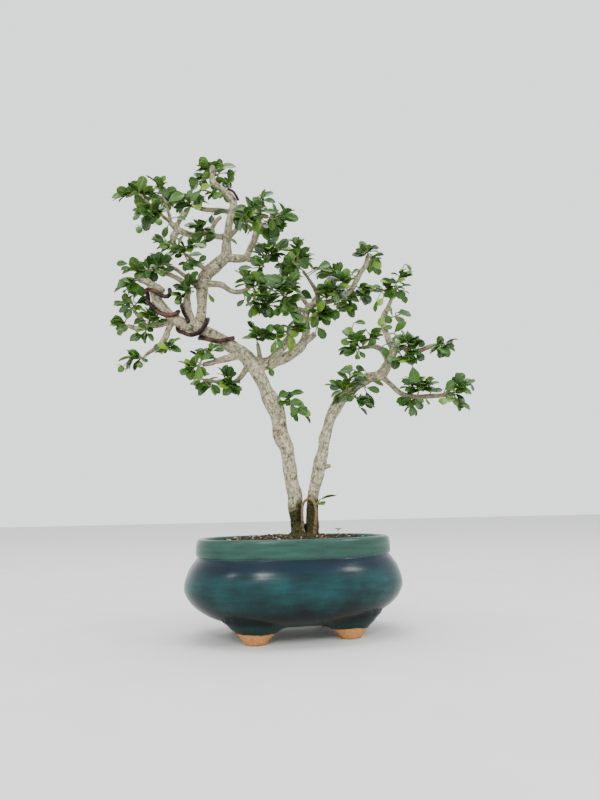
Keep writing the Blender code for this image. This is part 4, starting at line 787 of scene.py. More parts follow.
def on_route(route, across, down):
    """The point and direction of a route nearest to that place in the front view."""
    best = None
    for first, second in zip(route, route[1:]):
        run = (second[0] - first[0], second[1] - first[1])
        length = run[0] ** 2 + run[1] ** 2
        share = ((across - first[0]) * run[0] + (down - first[1]) * run[1]) / length
        share = min(max(share, 0.0), 1.0)
        place = [a + (b - a) * share for a, b in zip(first, second)]
        miss = math.hypot(place[0] - across, place[1] - down)
        if best is None or miss < best[0]:
            best = (miss, place, first, second)
    _, place, first, second = best
    along = (seen(*second[:3]) - seen(*first[:3])).normalized()
    return seen(*place[:3]), along


def eased(keys, share):
    """A smooth curve through the keys, read at a share from 0 to 1."""
    reach = share * (len(keys) - 1)
    number = min(int(reach), len(keys) - 2)
    t = reach - number
    near = [keys[min(max(number + step, 0), len(keys) - 1)] for step in (-1, 0, 1, 2)]
    value = []
    for a, b, c, d in zip(*near):
        bend = 2 * a - 5 * b + 4 * c - d
        twist = 3 * b - a - 3 * c + d
        value.append(b + 0.5 * ((c - a) * t + bend * t ** 2 + twist * t ** 3))
    return value


def eased_line(keys, count):
    """The smooth curve through the keys, read at even steps."""
    return [eased(keys, number / count) for number in range(count + 1)]


def off_bark(point, reach):
    """The point, moved straight away from any limb whose bark is nearer than the reach."""
    for name in WIRED_WOOD:
        points, radii = traced(WOOD[name])
        for start, end, thick, thin in zip(points, points[1:], radii, radii[1:]):
            run = end - start
            share = min(max((point - start).dot(run) / run.length_squared, 0.0), 1.0)
            middle = start.lerp(end, share)
            room = thick + (thin - thick) * share + reach
            if (point - middle).length < room:
                point = middle + (point - middle).normalized() * room
    return point


def wound(diameter, keys, step=WIRE_STEP):
    """Points of a wire that follows its keys and lies on the bark."""
    reach = (diameter / 2 + WIRE_SPARE) * MM + GAP
    points = [seen(*key) for key in eased_line(keys, 10 * len(keys))]
    for _ in range(WIRE_ROUNDS):
        points = [off_bark(point, reach) for point in points]
        middles = [(a + b + c) / 3 for a, b, c in zip(points, points[1:], points[2:])]
        points = [points[0], *middles, points[-1]]
    return spaced([off_bark(point, reach) for point in points], step * MM)


def spaced(points, step):
    """The same line with a point about every step."""
    kept = [points[0]]
    for point in points[1:]:
        if (point - kept[-1]).length >= step:
            kept.append(point)
    return kept


def leaf_shape(leaf, spare=0.0, start=0.0):
    """Points and faces of a leaf: an arched blade, folded up at both sides, as thick at its foot.
    Spare thickens and widens it all round, and start leaves out that share of its foot."""
    foot, along, side, normal, length, width, arch, toothed = leaf
    outline = TOOTHED_LEAF if toothed else ROUND_LEAF
    count = len(outline)
    upper = []
    for x, y in outline:
        x = max(x, start)
        out = y * (width / 2 + spare)
        rise = abs(out) * LEAF_FOLD - arch * length * x * x + LEAF_THICK * MM / 2 + spare
        upper.append(foot + along * x * (length + spare) + side * out + normal * rise)
    lower = [point - normal * (LEAF_THICK * MM + 2 * spare) for point in upper]
    blade = TOOTHED_BLADE if toothed else ROUND_BLADE
    faces = [*blade, *(tuple(corner + count for corner in reversed(face)) for face in blade)]
    for step in range(count):
        after = (step + 1) % count
        faces.append((step, step + count, after + count, after))
    return upper + lower, faces


def tree_of(shape):
    """A search tree for overlap tests."""
    return BVHTree.FromPolygons([tuple(p) for p in shape[0]], shape[1])


def middle_and_reach(shape):
    """The middle of a shape's points, and the distance to its farthest one."""
    middle = sum(shape[0], Vector()) / len(shape[0])
    return middle, max((point - middle).length for point in shape[0])


class Taken:
    """What already stands in the crown, to keep each new piece clear of the other nodes."""

    def __init__(self, wood, wires):
        self.wood = [tree_of(shape) for shape in wood]
        self.fixed = self.wood + [tree_of(shape) for shape in wires]
        self.pieces = []

    def bark(self, middle, out):
        """The place and direction where a line out of the wood's middle leaves the bark."""
        best = None
        for tree in self.wood:
            place, normal, _, distance = tree.ray_cast(middle + out * BARK_REACH * MM, -out, BARK_REACH * MM)
            if place and (best is None or distance < best[0]):
                best = (distance, place, normal if normal.dot(out) > 0 else -normal)
        return best[1:]

    def add(self, owner, shape):
        self.pieces.append((owner, *middle_and_reach(shape), tree_of(shape)))

    def free(self, owner, shape):
        """True if the shape crosses neither the wood nor another node's piece."""
        test = tree_of(shape)
        if any(test.overlap(tree) for tree in self.fixed):
            return False
        middle, reach = middle_and_reach(shape)
        for other, place, size, tree in self.pieces:
            if other != owner and (place - middle).length < size + reach and test.overlap(tree):
                return False
        return True


def shoot_points(foot, out, tip):
    """A shoot leaves the bark squarely, then bends over to its tip."""
    return [foot, foot + out * (tip - foot).length * SHOOT_KNEE, tip]


def shoot_shape(points, spare=0.0):
    """The thin round stem of a shoot."""
    count = len(points) - 1
    radii = []
    for number in range(count + 1):
        width = SHOOT_START + (SHOOT_END - SHOOT_START) * number / count
        radii.append(width * MM / 2 + spare)
    return tube_shape(points, radii, SHOOT_SIDES)


def lay_shoot(taken, owner, foot, out, tip):
    """The first bend of a shoot that stays clear of everything else, or nothing."""
    across, down, back = tip
    for bend in SHOOT_BENDS:
        end = seen(across, down, back + bend)
        aim = out or (end - foot).normalized()
        points = shoot_points(foot, aim, end)
        outer = [points[0].lerp(points[1], 0.5), *points[1:]]
        if taken.free(owner, shoot_shape(points)) and taken.free(owner, shoot_shape(outer, LEAF_CLEAR * MM)):
            return points
    return None


def lay_spray(name, taken):
    """The stems of a spray: the first leaves the branch, the others fork from it."""
    branch, place, shoots = SPRAYS[name]
    middle, along = on_route(WOOD[branch], *place)
    end = seen(*WOOD[branch][-1][:3])
    if (middle - end).length < END_REACH * MM:
        out = along
        foot = end + out * GAP
    else:
        out = seen(*shoots[0][:3]) - middle
        out = (out - along * out.dot(along)).normalized()
        foot, out = taken.bark(middle, out)
        foot = foot + out * GAP
    stems = []
    for *tip, count in shoots:
        points = lay_shoot(taken, name, foot, out, tip)
        if points:
            stems.append((points, count))
            taken.add(name, shoot_shape(points))
            foot = stems[0][0][0].lerp(stems[0][0][1], SHOOT_FORK)
            out = None
    return stems


def along_stem(points, share):
    """The point and direction of a stem at a share of its length."""
    lengths = [(b - a).length for a, b in zip(points, points[1:])]
    left = share * sum(lengths)
    for first, second, length in zip(points, points[1:], lengths):
        if left <= length or second is points[-1]:
            return first.lerp(second, min(left / length, 1.0)), (second - first).normalized()
        left -= length
    return points[-1], (points[-1] - points[-2]).normalized()


def leaf_at(draw, foot, ahead, turn, spread, forward, sway, lengths, arches):
    """A leaf that leaves its stem at that turn and spread, in radians, and faces up and forward."""
    first = ahead.cross(Vector((0.2, 0.9, 0.35))).normalized()
    second = ahead.cross(first)
    sideways = first * math.cos(turn) + second * math.sin(turn)
    along = ahead * math.cos(spread) + sideways * math.sin(spread)
    along.z = along.z * LEAF_FLAT + LEAF_RISE
    along.normalize()
    facing = ahead * LEAF_AHEAD + Vector((0, 0, LEAF_UP)) - TO_POT @ Vector((0, forward, 0))
    facing += Vector((draw.uniform(-sway, sway), draw.uniform(-sway, sway), 0))
    side = facing.cross(along).normalized()
    length = draw.uniform(*lengths) * MM
    width = length * draw.uniform(*LEAF_WIDTH_SHARE)
    arch = draw.uniform(*arches)
    return foot, along, side, along.cross(side), length, width, arch, draw.random() < TOOTHED_SHARE


def new_leaf(draw, points, number, count, tries):
    """One leaf of a stem: its place follows a spiral, and each further try turns it on."""
    share = number / max(count - 1, 1)
    foot, ahead = along_stem(points, LEAF_PLACES[0] + (LEAF_PLACES[1] - LEAF_PLACES[0]) * share)
    turn = math.radians(LEAF_TURN * number + LEAF_RETRY * tries + draw.uniform(-25, 25))
    spread = LEAF_SPREAD[0] + (LEAF_SPREAD[1] - LEAF_SPREAD[0]) * share + draw.uniform(-12, 12)
    spread = math.radians(spread)
    return leaf_at(draw, foot, ahead, turn, spread, LEAF_FORWARD, LEAF_SWAY, LEAF_LENGTH, LEAF_ARCH)


def grow_leaves(index, name, stems, taken):
    """The leaves of one spray, each turned on until it crosses nothing of another node."""
    draw = random.Random(LEAF_SEED + index)
    leaves = []
    grown = [tree_of(shoot_shape(points)) for points, _ in stems]
    for points, count in stems:
        for number in range(count):
            for tries in range(LEAF_TRIES):
                leaf = new_leaf(draw, points, number, count, tries)
                blade = tree_of(leaf_shape(leaf, 0.0, LEAF_FOOT))
                if any(blade.overlap(other) for other in grown):
                    continue
                if taken.free(name, leaf_shape(leaf, LEAF_CLEAR * MM)):
                    leaves.append(leaf)
                    grown.append(blade)
                    taken.add(name, leaf_shape(leaf))
                    break
    return leaves


def berry_places(name, stems):
    """The berries of a spray: start of the stalk, its knee, middle of the berry and its radius."""
    places = []
    for owner, place, diameter in BERRIES:
        if owner != name:
            continue
        middle = seen(*place)
        starts = [along_stem(points, share)[0] for points, _ in stems for share in STALK_STARTS]
        start = min(starts, key=lambda p: (p - middle).length)
        knee = start.lerp(middle, 0.5) + Vector((0, 0, STALK_RISE)) * MM
        places.append((start, knee, middle, diameter * MM / 2))
    return places


def ball_shape(middle, radius, fineness):
    """Points and faces of a ball."""
    ball = bmesh.new()
    place = Matrix.Translation(middle)
    bmesh.ops.create_icosphere(ball, subdivisions=fineness, radius=radius, matrix=place)
    shape = [v.co.copy() for v in ball.verts], [tuple(v.index for v in f.verts) for f in ball.faces]
    ball.free()
    return shape


def smooth_line(points, steps):
    """The same line with more points, on a smooth curve."""
    return [Vector(key) for key in eased_line(points, steps * (len(points) - 1))]


class Shell:
    """Points and faces gathered for one piece. Each face has a slot and each point three marks."""

    def __init__(self):
        self.points = []
        self.faces = []
        self.slots = []
        self.marks = []

    def add(self, shape, slot=0, marks=(0.0, 0.0, 0.5)):
        points, faces = shape
        start = len(self.points)
        self.points += [tuple(p) for p in points]
        self.faces += [tuple(corner + start for corner in face) for face in faces]
        self.slots += [slot] * len(faces)
        self.marks += [marks] * len(points)

    def add_marked(self, points, faces, slots, marks):
        start = len(self.points)
        self.points += points
        self.faces += [tuple(corner + start for corner in face) for face in faces]
        self.slots += slots
        self.marks += marks


def piece_of(name, shell, materials, sharp=None):
    """The object of a shell, with its materials, shaded smooth except at sharp edges."""
    mesh = bpy.data.meshes.new(name)
    mesh.from_pydata(shell.points, [], shell.faces)
    for material in materials:
        mesh.materials.append(material)
    mesh.polygons.foreach_set("material_index", shell.slots)
    marks = mesh.attributes.new("marks", "FLOAT_VECTOR", "POINT")
    marks.data.foreach_set("vector", np.array(shell.marks, dtype=np.float32).ravel())
    work = bmesh.new()
    work.from_mesh(mesh)
    bmesh.ops.recalc_face_normals(work, faces=work.faces)
    work.to_mesh(mesh)
    work.free()
    mesh.shade_smooth()
    if sharp:
        mesh.set_sharp_from_angle(angle=math.radians(sharp))
    piece = bpy.data.objects.new(name, mesh)
    bpy.context.scene.collection.objects.link(piece)
    return piece


def applied(piece):
    """Apply every modifier of a piece to its mesh."""
    evaluated = piece.evaluated_get(bpy.context.evaluated_depsgraph_get())
    mesh = bpy.data.meshes.new_from_object(evaluated)
    piece.modifiers.clear()
    piece.data = mesh
    mesh.name = piece.name
    return piece


def new_finish(name, values):
    """A material with these values on its shader's own sockets, and the function that adds its nodes."""
    material = bpy.data.materials.new(name)
    material.use_nodes = True
    shader = material.node_tree.nodes["Principled BSDF"]
    for socket, value in values.items():
        shader.inputs[socket].default_value = value
    return material, partial(add_node, material.node_tree)


def add_node(tree, kind, settings, inputs, output=0):
    """Add a node with its settings, and return one output. An input gets a value, or an output to link."""
    made = tree.nodes.new("ShaderNode" + kind)
    for name, value in settings.items():
        setattr(made, name, value)
    for name, value in inputs.items():
        if isinstance(value, bpy.types.NodeSocket):
            tree.links.new(value, made.inputs[name])
        else:
            made.inputs[name].default_value = value
    return made.outputs[output]


def painted(add, colour, ramp, layers):
    """The colour with tones laid over it. Each starts at one value of its pattern and has its full share
    at another."""
    for value, low, high, most, tone in layers:
        part = add("MapRange", ramp, {"Value": value, "From Min": low, "From Max": high, "To Max": most})
        colour = add("Mix", RGBA, {0: part, 6: colour, 7: tone}, 2)
    return colour


def finished(material, colour, rough, relief, strength, height):
    """Link the colour, the roughness and a relief of that height in millimetres to a material's shader."""
    tree = material.node_tree
    bump = add_node(tree, "Bump", {}, {"Strength": strength, "Distance": height * MM, "Height": relief})
    for socket, value in (("Base Color", colour), ("Roughness", rough), ("Normal", bump)):
        tree.links.new(value, tree.nodes["Principled BSDF"].inputs[socket])
    return material


def marks_of(add):
    """The three marks that each point of a piece carries."""
    marks = add("Attribute", {"attribute_name": "marks"}, {}, "Vector")
    parts = add("SeparateXYZ", {}, {0: marks}).node
    return [parts.outputs[axis] for axis in "XYZ"]


def glaze_finish(look):
    """Stoneware with a poured and fired glaze: deep, wet looking colour that is thin and green on the rim,
    gathers blue below it, clouds green on the belly, is darkest low down where the belly turns under (its own
    darker glaze there, with painted shade over it), and stops short of the bare clay feet."""
    material, add = new_finish("stoneware_fired_glaze", {"IOR": 1.5, "Specular IOR Level": 0.22})
    place = add("TexCoord", {}, {}, "Object")
    # Clouds of 22 mm, as the glaze flows
    cloud = add("TexNoise", {}, {"Vector": place, "Scale": 45.0, "Detail": 4.0})
    # Turned marks that run round the wall, 4 mm apart
    flat = add("VectorMath", TIMES, {0: place, 1: (0.16, 0.16, 1.0)})
    turned = add("TexNoise", {}, {"Vector": flat, "Scale": 250.0, "Detail": 3.0})
    height = add("SeparateXYZ", {}, {0: place}, "Z")
    wander = add("Math", TIMES_PLUS, {0: cloud, 1: GLAZE_WANDER * MM, 2: -GLAZE_WANDER / 2 * MM})
    level = add("Math", PLUS, {0: height, 1: wander})
    # The under tone low on the pot is the glaze's darker colour there with painted shade where the belly
    # turns under
    colour = painted(add, look.foot, SMOOTH, (
        (level, 13 * MM, 19 * MM, 1.0, look.under), (level, 21 * MM, 43 * MM, 1.0, look.belly),
        (level, 50 * MM, 61 * MM, 1.0, look.shoulder), (height, 66.1 * MM, 67.3 * MM, 1.0, look.rim)))

    # Clouds show most in the middle of the belly
    low = add("MapRange", SMOOTH, {"Value": height, "From Min": 18 * MM, "From Max": 40 * MM})
    high = add("MapRange", SMOOTH, {"Value": height, "From Min": 63 * MM, "From Max": 47 * MM})
    spread = add("MapRange", {}, {"Value": cloud, "From Min": 0.38, "From Max": 0.72})
    part = add("Math", TIMES, {0: low, 1: high})
    part = add("Math", TIMES, {0: part, 1: spread})
    colour = add("Mix", RGBA, {0: part, 6: colour, 7: look.cloud}, 2)
    depth = add(
        "MapRange", {}, {"Value": turned, "From Min": 0.3, "From Max": 0.7, "To Min": 0.74, "To Max": 1.3})
    tone = add("CombineXYZ", {}, {0: depth, 1: depth, 2: depth})
    colour = add("Mix", {**RGBA, "blend_type": "MULTIPLY"}, {0: 1.0, 6: colour, 7: tone}, 2)
    # Iron specks of about half a millimetre, 5 mm apart
    specks = add("TexVoronoi", {}, {"Vector": place, "Scale": 210.0})
    speck = add(
        "MapRange", {}, {"Value": specks, "From Min": 0.05, "From Max": 0.1, "To Min": 0.8, "To Max": 0.0})
    colour = add("Mix", RGBA, {0: speck, 6: colour, 7: linear("#060d0e")}, 2)

    # Bare clay with a grain of 2.4 mm, under a wavy glaze line 9 mm up the feet
    grog = add("TexNoise", {}, {"Vector": place, "Scale": 420.0, "Detail": 5.0})
    clay = add("Mix", RGBA, {0: grog, 6: look.clay, 7: linear("#9c5f30")}, 2)
    line = add("MapRange", SMOOTH, {"Value": level, "From Min": 8.2 * MM, "From Max": 9.2 * MM})
    colour = add("Mix", RGBA, {0: line, 6: clay, 7: colour}, 2)
    gloss = add("MapRange", {}, {"Value": cloud, "To Min": look.gloss * 0.6, "To Max": look.gloss * 1.9})
    rough = add("Mix", {}, {0: line, 2: 0.85, 3: gloss})
    # The glaze's skin is slightly waved, so it breaks up what it mirrors
    skin = add("Math", TIMES_PLUS, {0: turned, 1: 0.7, 2: cloud})
    relief = add("Mix", {}, {0: line, 2: grog, 3: skin})
    return finished(material, colour, rough, relief, 0.35, 0.5)


def bark_finish(look, damp_height):
    """Fukien tea bark, grown: thin, dry and pale, finely cracked along the limb with darker cracks and
    rings, brown in streaks, and dark with algae just above the soil."""
    material, add = new_finish("fukien_tea_bark_grown", {"IOR": 1.4, "Specular IOR Level": 0.25})
    grain = add("Attribute", {"attribute_name": "grain"}, {}, "Vector")
    depth, girth, on_root = marks_of(add)
    place = add("TexCoord", {}, {}, "Object")
    # Plates about 2.5 mm wide and 5 mm long, with lines 1.2 mm apart along them
    along = add("VectorMath", TIMES, {0: grain, 1: (1.0, 1.0, 0.46)})
    plates = add("TexNoise", {}, {"Vector": along, "Scale": 400.0, "Detail": 5.0})
    lines = add("TexNoise", {}, {"Vector": along, "Scale": 820.0, "Detail": 4.0})
    # Rings 2.6 mm apart across the limb
    around = add("VectorMath", TIMES, {0: grain, 1: (0.3, 0.3, 1.0)})
    rings = add("TexNoise", {}, {"Vector": around, "Scale": 380.0, "Detail": 4.0})
    # Warm patches of 22 mm, and specks of about 1 mm
    patches = add("TexNoise", {}, {"Vector": place, "Scale": 45.0, "Detail": 2.0})
    specks = add("TexNoise", {}, {"Vector": place, "Scale": 900.0, "Detail": 2.0})
    thin = add("Math", MINUS, {0: 1.0, 1: girth})
    colour = painted(add, look.mid, {}, (
        (plates, 0.38, 0.62, 1.0, look.pale), (patches, 0.5, 0.66, 0.38, look.warm),
        (rings, 0.56, 0.7, 0.6, look.crack), (lines, 0.53, 0.72, 0.5, look.crack),
        (specks, 0.58, 0.7, 0.5, look.crack), (depth, 0.2, 0.85, 0.9, look.crack),
        (thin, 0.3, 0.75, 0.85, look.twig)))

    axes = add("SeparateXYZ", {}, {0: place}).node.outputs
    slope = add("Math", TIMES_PLUS, {0: axes["X"], 1: -DAMP_SLOPE, 2: axes["Z"]})
    wander = add("Math", TIMES_PLUS, {0: rings, 1: DAMP_WANDER * MM, 2: -DAMP_WANDER / 2 * MM})
    level = add("Math", PLUS, {0: slope, 1: wander})
    green = add("MapRange", {}, {"Value": specks, "From Min": 0.42, "From Max": 0.6})
    wet = add("Mix", RGBA, {0: green, 6: look.damp, 7: look.moss}, 2)
    dry = add("MapRange", SMOOTH, {
        "Value": level, "From Min": damp_height - 3 * MM, "From Max": damp_height + 5 * MM})
    colour = add("Mix", RGBA, {0: dry, 6: wet, 7: colour}, 2)
    smooth = add("Mix", RGBA, {0: specks, 6: look.root, 7: wet}, 2)
    colour = add("Mix", RGBA, {0: on_root, 6: colour, 7: smooth}, 2)
    rough = add("MapRange", {}, {"Value": plates, "To Min": 0.95, "To Max": 0.68})
    both = add("Math", PLUS, {0: plates, 1: rings})
    return finished(material, colour, rough, both, 0.55, 0.5)


def wire_finish(look, sheen_and_wear_from):
    """Aluminium wire, drawn and anodised: a satin dark skin, lighter brown in patches from that
    value of the noise up, partly where the skin wears and partly as painted sheen."""
    material, add = new_finish("aluminium_wire_anodised", {"Metallic": 0.6})
    place = add("TexCoord", {}, {}, "Object")
    # Lighter brown patches about 6 mm long, partly wear and partly painted sheen, with a grain of 0.4 mm
    patches = add("TexNoise", {}, {"Vector": place, "Scale": 160.0, "Detail": 4.0})
    grain = add("TexNoise", {}, {"Vector": place, "Scale": 2400.0, "Detail": 2.0})
    colour = painted(add, look.dark, {}, ((patches, sheen_and_wear_from, sheen_and_wear_from + SHEEN_AND_WEAR_EDGE, 1.0, look.wear_and_sheen),))
    rough = add("MapRange", {}, {"Value": grain, "To Min": 0.32, "To Max": 0.55})
    return finished(material, colour, rough, grain, 0.2, 0.1)


def vein_lines(add, along, across, *widths):
    """How strongly the midrib and the side veins show. Each is given by where it starts to fade, where it
    ends, and its strength."""
    off = add("Math", {"operation": "ABSOLUTE"}, {0: across})
    slant = add("Math", TIMES_PLUS, {0: off, 1: -VEIN_SLANT, 2: along})
    beside = add("Math", {"operation": "PINGPONG"}, {0: slant, 1: VEIN_SPACING})
    lines = []
    for value, (low, high, most) in zip((off, beside), widths):
        lines.append(add("MapRange", {}, {
            "Value": value, "From Min": low, "From Max": high, "To Min": most, "To Max": 0.0}))
    return lines


def leaf_finish(look):
    """Upper face of a fukien tea leaf, grown: waxy and glossy, dark with a paler midrib, and dotted with
    small pale spots."""
    material, add = new_finish("fukien_tea_leaf_grown", {**LEAF_LIGHT, "Specular IOR Level": 0.4})
    along, across, age = marks_of(add)
    place = add("TexCoord", {}, {}, "Object")
    # Blotches of 4 mm
    blotches = add("TexNoise", {}, {"Vector": place, "Scale": 240.0, "Detail": 2.0})
    # Spots 0.9 mm apart, as coarse as they need to show
    spots = add("TexVoronoi", {}, {"Vector": place, "Scale": 1100.0})
    fresh = add("Math", TIMES_PLUS, {0: blotches, 1: 0.3, 2: -0.15})
    fresh = add("Math", PLUS, {0: age, 1: fresh})
    colour = painted(add, look.old, {}, (
        (fresh, 0.05, 0.55, 1.0, look.grown), (fresh, 0.6, 1.0, 1.0, look.young)))
    rib, side = vein_lines(add, along, across, (0.02, 0.09, 0.34), (0.0, 0.012, 0.14))
    spot = add("MapRange", {}, {
        "Value": spots, "From Min": 0.1, "From Max": 0.2, "To Min": 0.18, "To Max": 0.0})
    for part in (rib, side, spot):
        colour = add("Mix", RGBA, {0: part, 6: colour, 7: look.vein}, 2)
    rough = add("MapRange", {}, {"Value": blotches, "To Min": 0.24, "To Max": 0.46})
    relief = add("Math", MINUS, {0: spot, 1: side})
    return finished(material, colour, rough, relief, 0.4, 0.15)


def underside_finish(look):
    """Lower face of a leaf, grown: paler and matt, with the veins standing out."""
    material, add = new_finish("leaf_underside_grown", {**LEAF_LIGHT, "Specular IOR Level": 0.35})
    along, across, age = marks_of(add)
    place = add("TexCoord", {}, {}, "Object")
    # Blotches of 3.3 mm
    blotches = add("TexNoise", {}, {"Vector": place, "Scale": 300.0, "Detail": 3.0})
    tone = add("Mix", RGBA, {0: age, 6: linear("#37562a"), 7: look.under}, 2)
    rib, side = vein_lines(add, along, across, (0.04, 0.14, 0.7), (0.0, 0.016, 0.4))
    lines = add("Math", {"operation": "MAXIMUM"}, {0: rib, 1: side})
    colour = add("Mix", RGBA, {0: lines, 6: tone, 7: look.vein}, 2)
    rough = add("MapRange", {}, {"Value": blotches, "To Min": 0.5, "To Max": 0.7})
    return finished(material, colour, rough, lines, 0.5, 0.2)


def mottled_finish(name, tones, spacing, rough, relief, values):
    """A natural surface of two tones in patches of that spacing, with roughness and relief that follow."""
    material, add = new_finish(name, values)
    place = add("TexCoord", {}, {}, "Object")
    patches = add("TexNoise", {}, {"Vector": place, "Scale": 1 / (spacing * MM), "Detail": 4.0})
    colour = painted(add, tones[0], {}, ((patches, 0.36, 0.64, 1.0, tones[1]),))
    matt = add("MapRange", {}, {"Value": patches, "To Min": rough[0], "To Max": rough[1]})
    return finished(material, colour, matt, patches, 0.6, relief)


def pot_level(x, y, height):
    """The height of the pot's underside there once the feet have grown out of it, in millimetres."""
    lowest = height
    for side_x in (-1, 1):
        for side_y in (-1, 1):
            offset = (x - side_x * FOOT_PLACE[0], y - side_y * FOOT_PLACE[1])
            reach = [math.hypot(offset[0] / long, offset[1] / deep) for _, long, deep in FOOT_SECTIONS]
            levels = [section[0] for section in FOOT_SECTIONS]
            foot = float(np.interp(-1.0, [-r for r in reach], levels, left=0.0, right=FOOT_CLEAR))
            apart = max(FOOT_BLEND - abs(lowest - foot), 0.0) / FOOT_BLEND
            lowest = min(lowest, foot) - apart ** 2 * FOOT_BLEND / 4
    return max(lowest, 0.0)


def finer(profile, step=PROFILE_STEP):
    """A profile with a point about every step, on a smooth curve."""
    line = []
    for number in range(len(profile) - 1):
        length = math.dist(profile[number], profile[number + 1])
        pieces = max(1, round(length / step))
        line += [eased(profile, (number + piece / pieces) / (len(profile) - 1)) for piece in range(pieces)]
    return line + [profile[-1]]


def mottled_set(rows, look, values):
    """A mottled finish for each row, with its first tone from the settings."""
    return [
        mottled_finish(name, (getattr(look, setting), linear(tone)), spacing, rough, relief, values)
        for name, setting, tone, spacing, rough, relief in rows]


def floor_line(height, start, end, pieces):
    """Rings across the pot's floor between the drain hole and the wall, as (height, half length, blend)."""
    return [
        (height, start + (end - start) * number / pieces, number / pieces) for number in range(pieces + 1)]


def pot_shell(look):
    """The pot as one closed surface: underside with feet, belly, rolled rim, inside and drain hole."""
    hole = DRAIN_HOLE / 2
    outside = finer(OUTER_PROFILE) + finer(RIM_PROFILE, RIM_STEP)
    outside += finer((RIM_PROFILE[-1], *INNER_PROFILE))[1:]
    lines = floor_line(BASE_HEIGHT, hole, OUTER_PROFILE[0][1], BASE_RINGS)[:-1]
    lines += [(height, half, 1.0) for height, half in outside]
    lines += list(reversed(floor_line(FLOOR_HEIGHT, hole, INNER_PROFILE[-1][1], FLOOR_RINGS)))[1:]
    widest = max(number for number, line in enumerate(lines) if line[1] > BELLY_FROM)
    points = []
    for number, (height, half, blend) in enumerate(lines):
        half_deep = hole + (half * POT_DEPTH_SHARE - hole) * blend if blend < 1 else half * POT_DEPTH_SHARE
        for point in plan_ring(half, half_deep, height, PLAN_POINTS, 2 + (PLAN_POWER - 2) * blend):
            if number < widest and blend > 0:
                point.z = pot_level(point.x / MM, point.y / MM, height) * MM
            if 0.2 < blend and point.z > THROWN_FROM * MM:
                drift = noise.noise(Vector((point.x, point.y, point.z * 2)) * THROWN_REPEATS)
                point += Vector((point.x, point.y, 0)).normalized() * drift * look.thrown
            points.append(point)
    shell = Shell()
    shell.add((points, ring_faces(len(lines), PLAN_POINTS, closed=True)))
    return shell


def soil_rings():
    """Heights and half lengths of the root ball's rings from its floor to the middle of its top, and the
    number of the first one on top."""
    walls = [*reversed(INNER_PROFILE), (70, SOIL_WALL), (SOIL_EDGE - 0.6, SOIL_WALL)]
    rings = [(walls[0][0] + SOIL_INSET, walls[0][1] * number / 3) for number in (1, 2)]
    rings += [(height, half - SOIL_INSET) for height, half in walls]
    top = len(rings)
    half = rings[-1][1]
    for number in range(SOIL_RINGS):
        share = 1 - (number + 1) / (SOIL_RINGS + 1)
        rings.append((SOIL_EDGE + (SOIL_CROWN - SOIL_EDGE) * min(1.0, (1 - share) * 2), half * share))
    return rings, top


def soil_shell(look, root_middle):
    """The root ball with its crumbled top and what lies on it, in the slots of SOIL_FINISHES."""
    draw = random.Random(SOIL_SEED)
    shell = Shell()
    rings, top = soil_rings()
    points = []
    for number, (height, long) in enumerate(rings):
        for point in plan_ring(long, long * POT_DEPTH_SHARE, height, SOIL_POINTS):
            if number >= top:
                point.z += crumbs(point)
            points.append(point)
    shell.add((points, ring_faces(len(rings), SOIL_POINTS)))
    for _ in range(look.stones):
        radius = look.stone / 2 * (GRIT_LEAST + GRIT_RANGE * draw.random() ** GRIT_RARE)
        place = soil_place(draw, GRIT_REACH)
        if (place - root_middle).xy.length < ROOT_CLEAR * MM:
            continue
        place.z += radius * draw.uniform(*GRIT_RISE)
        shell.add(stone_shape(draw, place, radius), draw.choice(STONE_SLOTS))
    for across, down, behind, millimetres, slot in LOOSE_STONES:
        place = seen(across, down, behind)
        shell.add(stone_shape(draw, soil_level(place.x / MM, place.y / MM), millimetres / 2 * MM), slot)
    add_moss(shell, look, root_middle, draw)
    add_seedling(shell)
    return shell


def add_moss(shell, look, root_middle, draw):
    """Small upright moss leaves on the soil round the foot of the tree, thickest close to it."""
    for _ in range(look.blades):
        angle = draw.uniform(0, math.tau)
        reach = MOSS_REACH[0] + (MOSS_REACH[1] - MOSS_REACH[0]) * draw.random() ** 1.6
        out = Vector((math.cos(angle), math.sin(angle) * ROOT_DEPTH_SHARE, 0))
        place = root_middle / MM + out * reach
        foot = soil_level(place.x, place.y)
        lean = Vector((draw.uniform(-1, 1), draw.uniform(-1, 1), 1.3))
        lean = lean.normalized() * draw.uniform(0.9, 2.4) * MM
        line = [foot - lean * 0.4, foot + lean * 0.5, foot + lean]
        shell.add(tube_shape(line, [width * MM for width in MOSS_WIDTHS], 4), MOSS_SLOT)


def add_seedling(shell):
    """A small seedling that stands in the soil behind the trunks."""
    foot = seen(*SEEDLING)
    foot = soil_level(foot.x / MM, foot.y / MM)
    top = foot + Vector((0.4, 0, 5)) * MM
    stem = [foot, foot.lerp(top, 0.5), top]
    shell.add(tube_shape(stem, [0.4 * MM, 0.35 * MM, 0.3 * MM], 5), SEEDLING_SLOT)
    for turn in (0.3, 2.2, 4.1, 5.2):
        along = Vector((math.cos(turn), math.sin(turn), 0.7)).normalized()
        side = along.cross(Vector((0, 0, 1))).normalized()
        leaf = (top, along, side, side.cross(along), 3.6 * MM, 2.0 * MM, 0.3, False)
        shell.add(leaf_shape(leaf), SEEDLING_SLOT)


def crumbs(point):
    """How far the soil's crumbled top stands above or below its mean level there."""
    swell, crumb, grain = (noise.noise(point * repeats) * height for repeats, height in CRUMBS)
    return (swell + (crumb + grain) - CRUMB_DROP) * MM


def soil_level(x, y):
    """The height of the soil's top at a place in millimetres, with its crumbs."""
    across = abs(x / INNER_HALF) ** PLAN_POWER
    deep = abs(y / (INNER_HALF * POT_DEPTH_SHARE)) ** PLAN_POWER
    reach = (across + deep) ** (1 / PLAN_POWER)
    level = SOIL_EDGE + (SOIL_CROWN - SOIL_EDGE) * min(1.0, max(0.0, 1 - reach) * 2)
    point = Vector((x, y, level)) * MM
    point.z += crumbs(point)
    return point


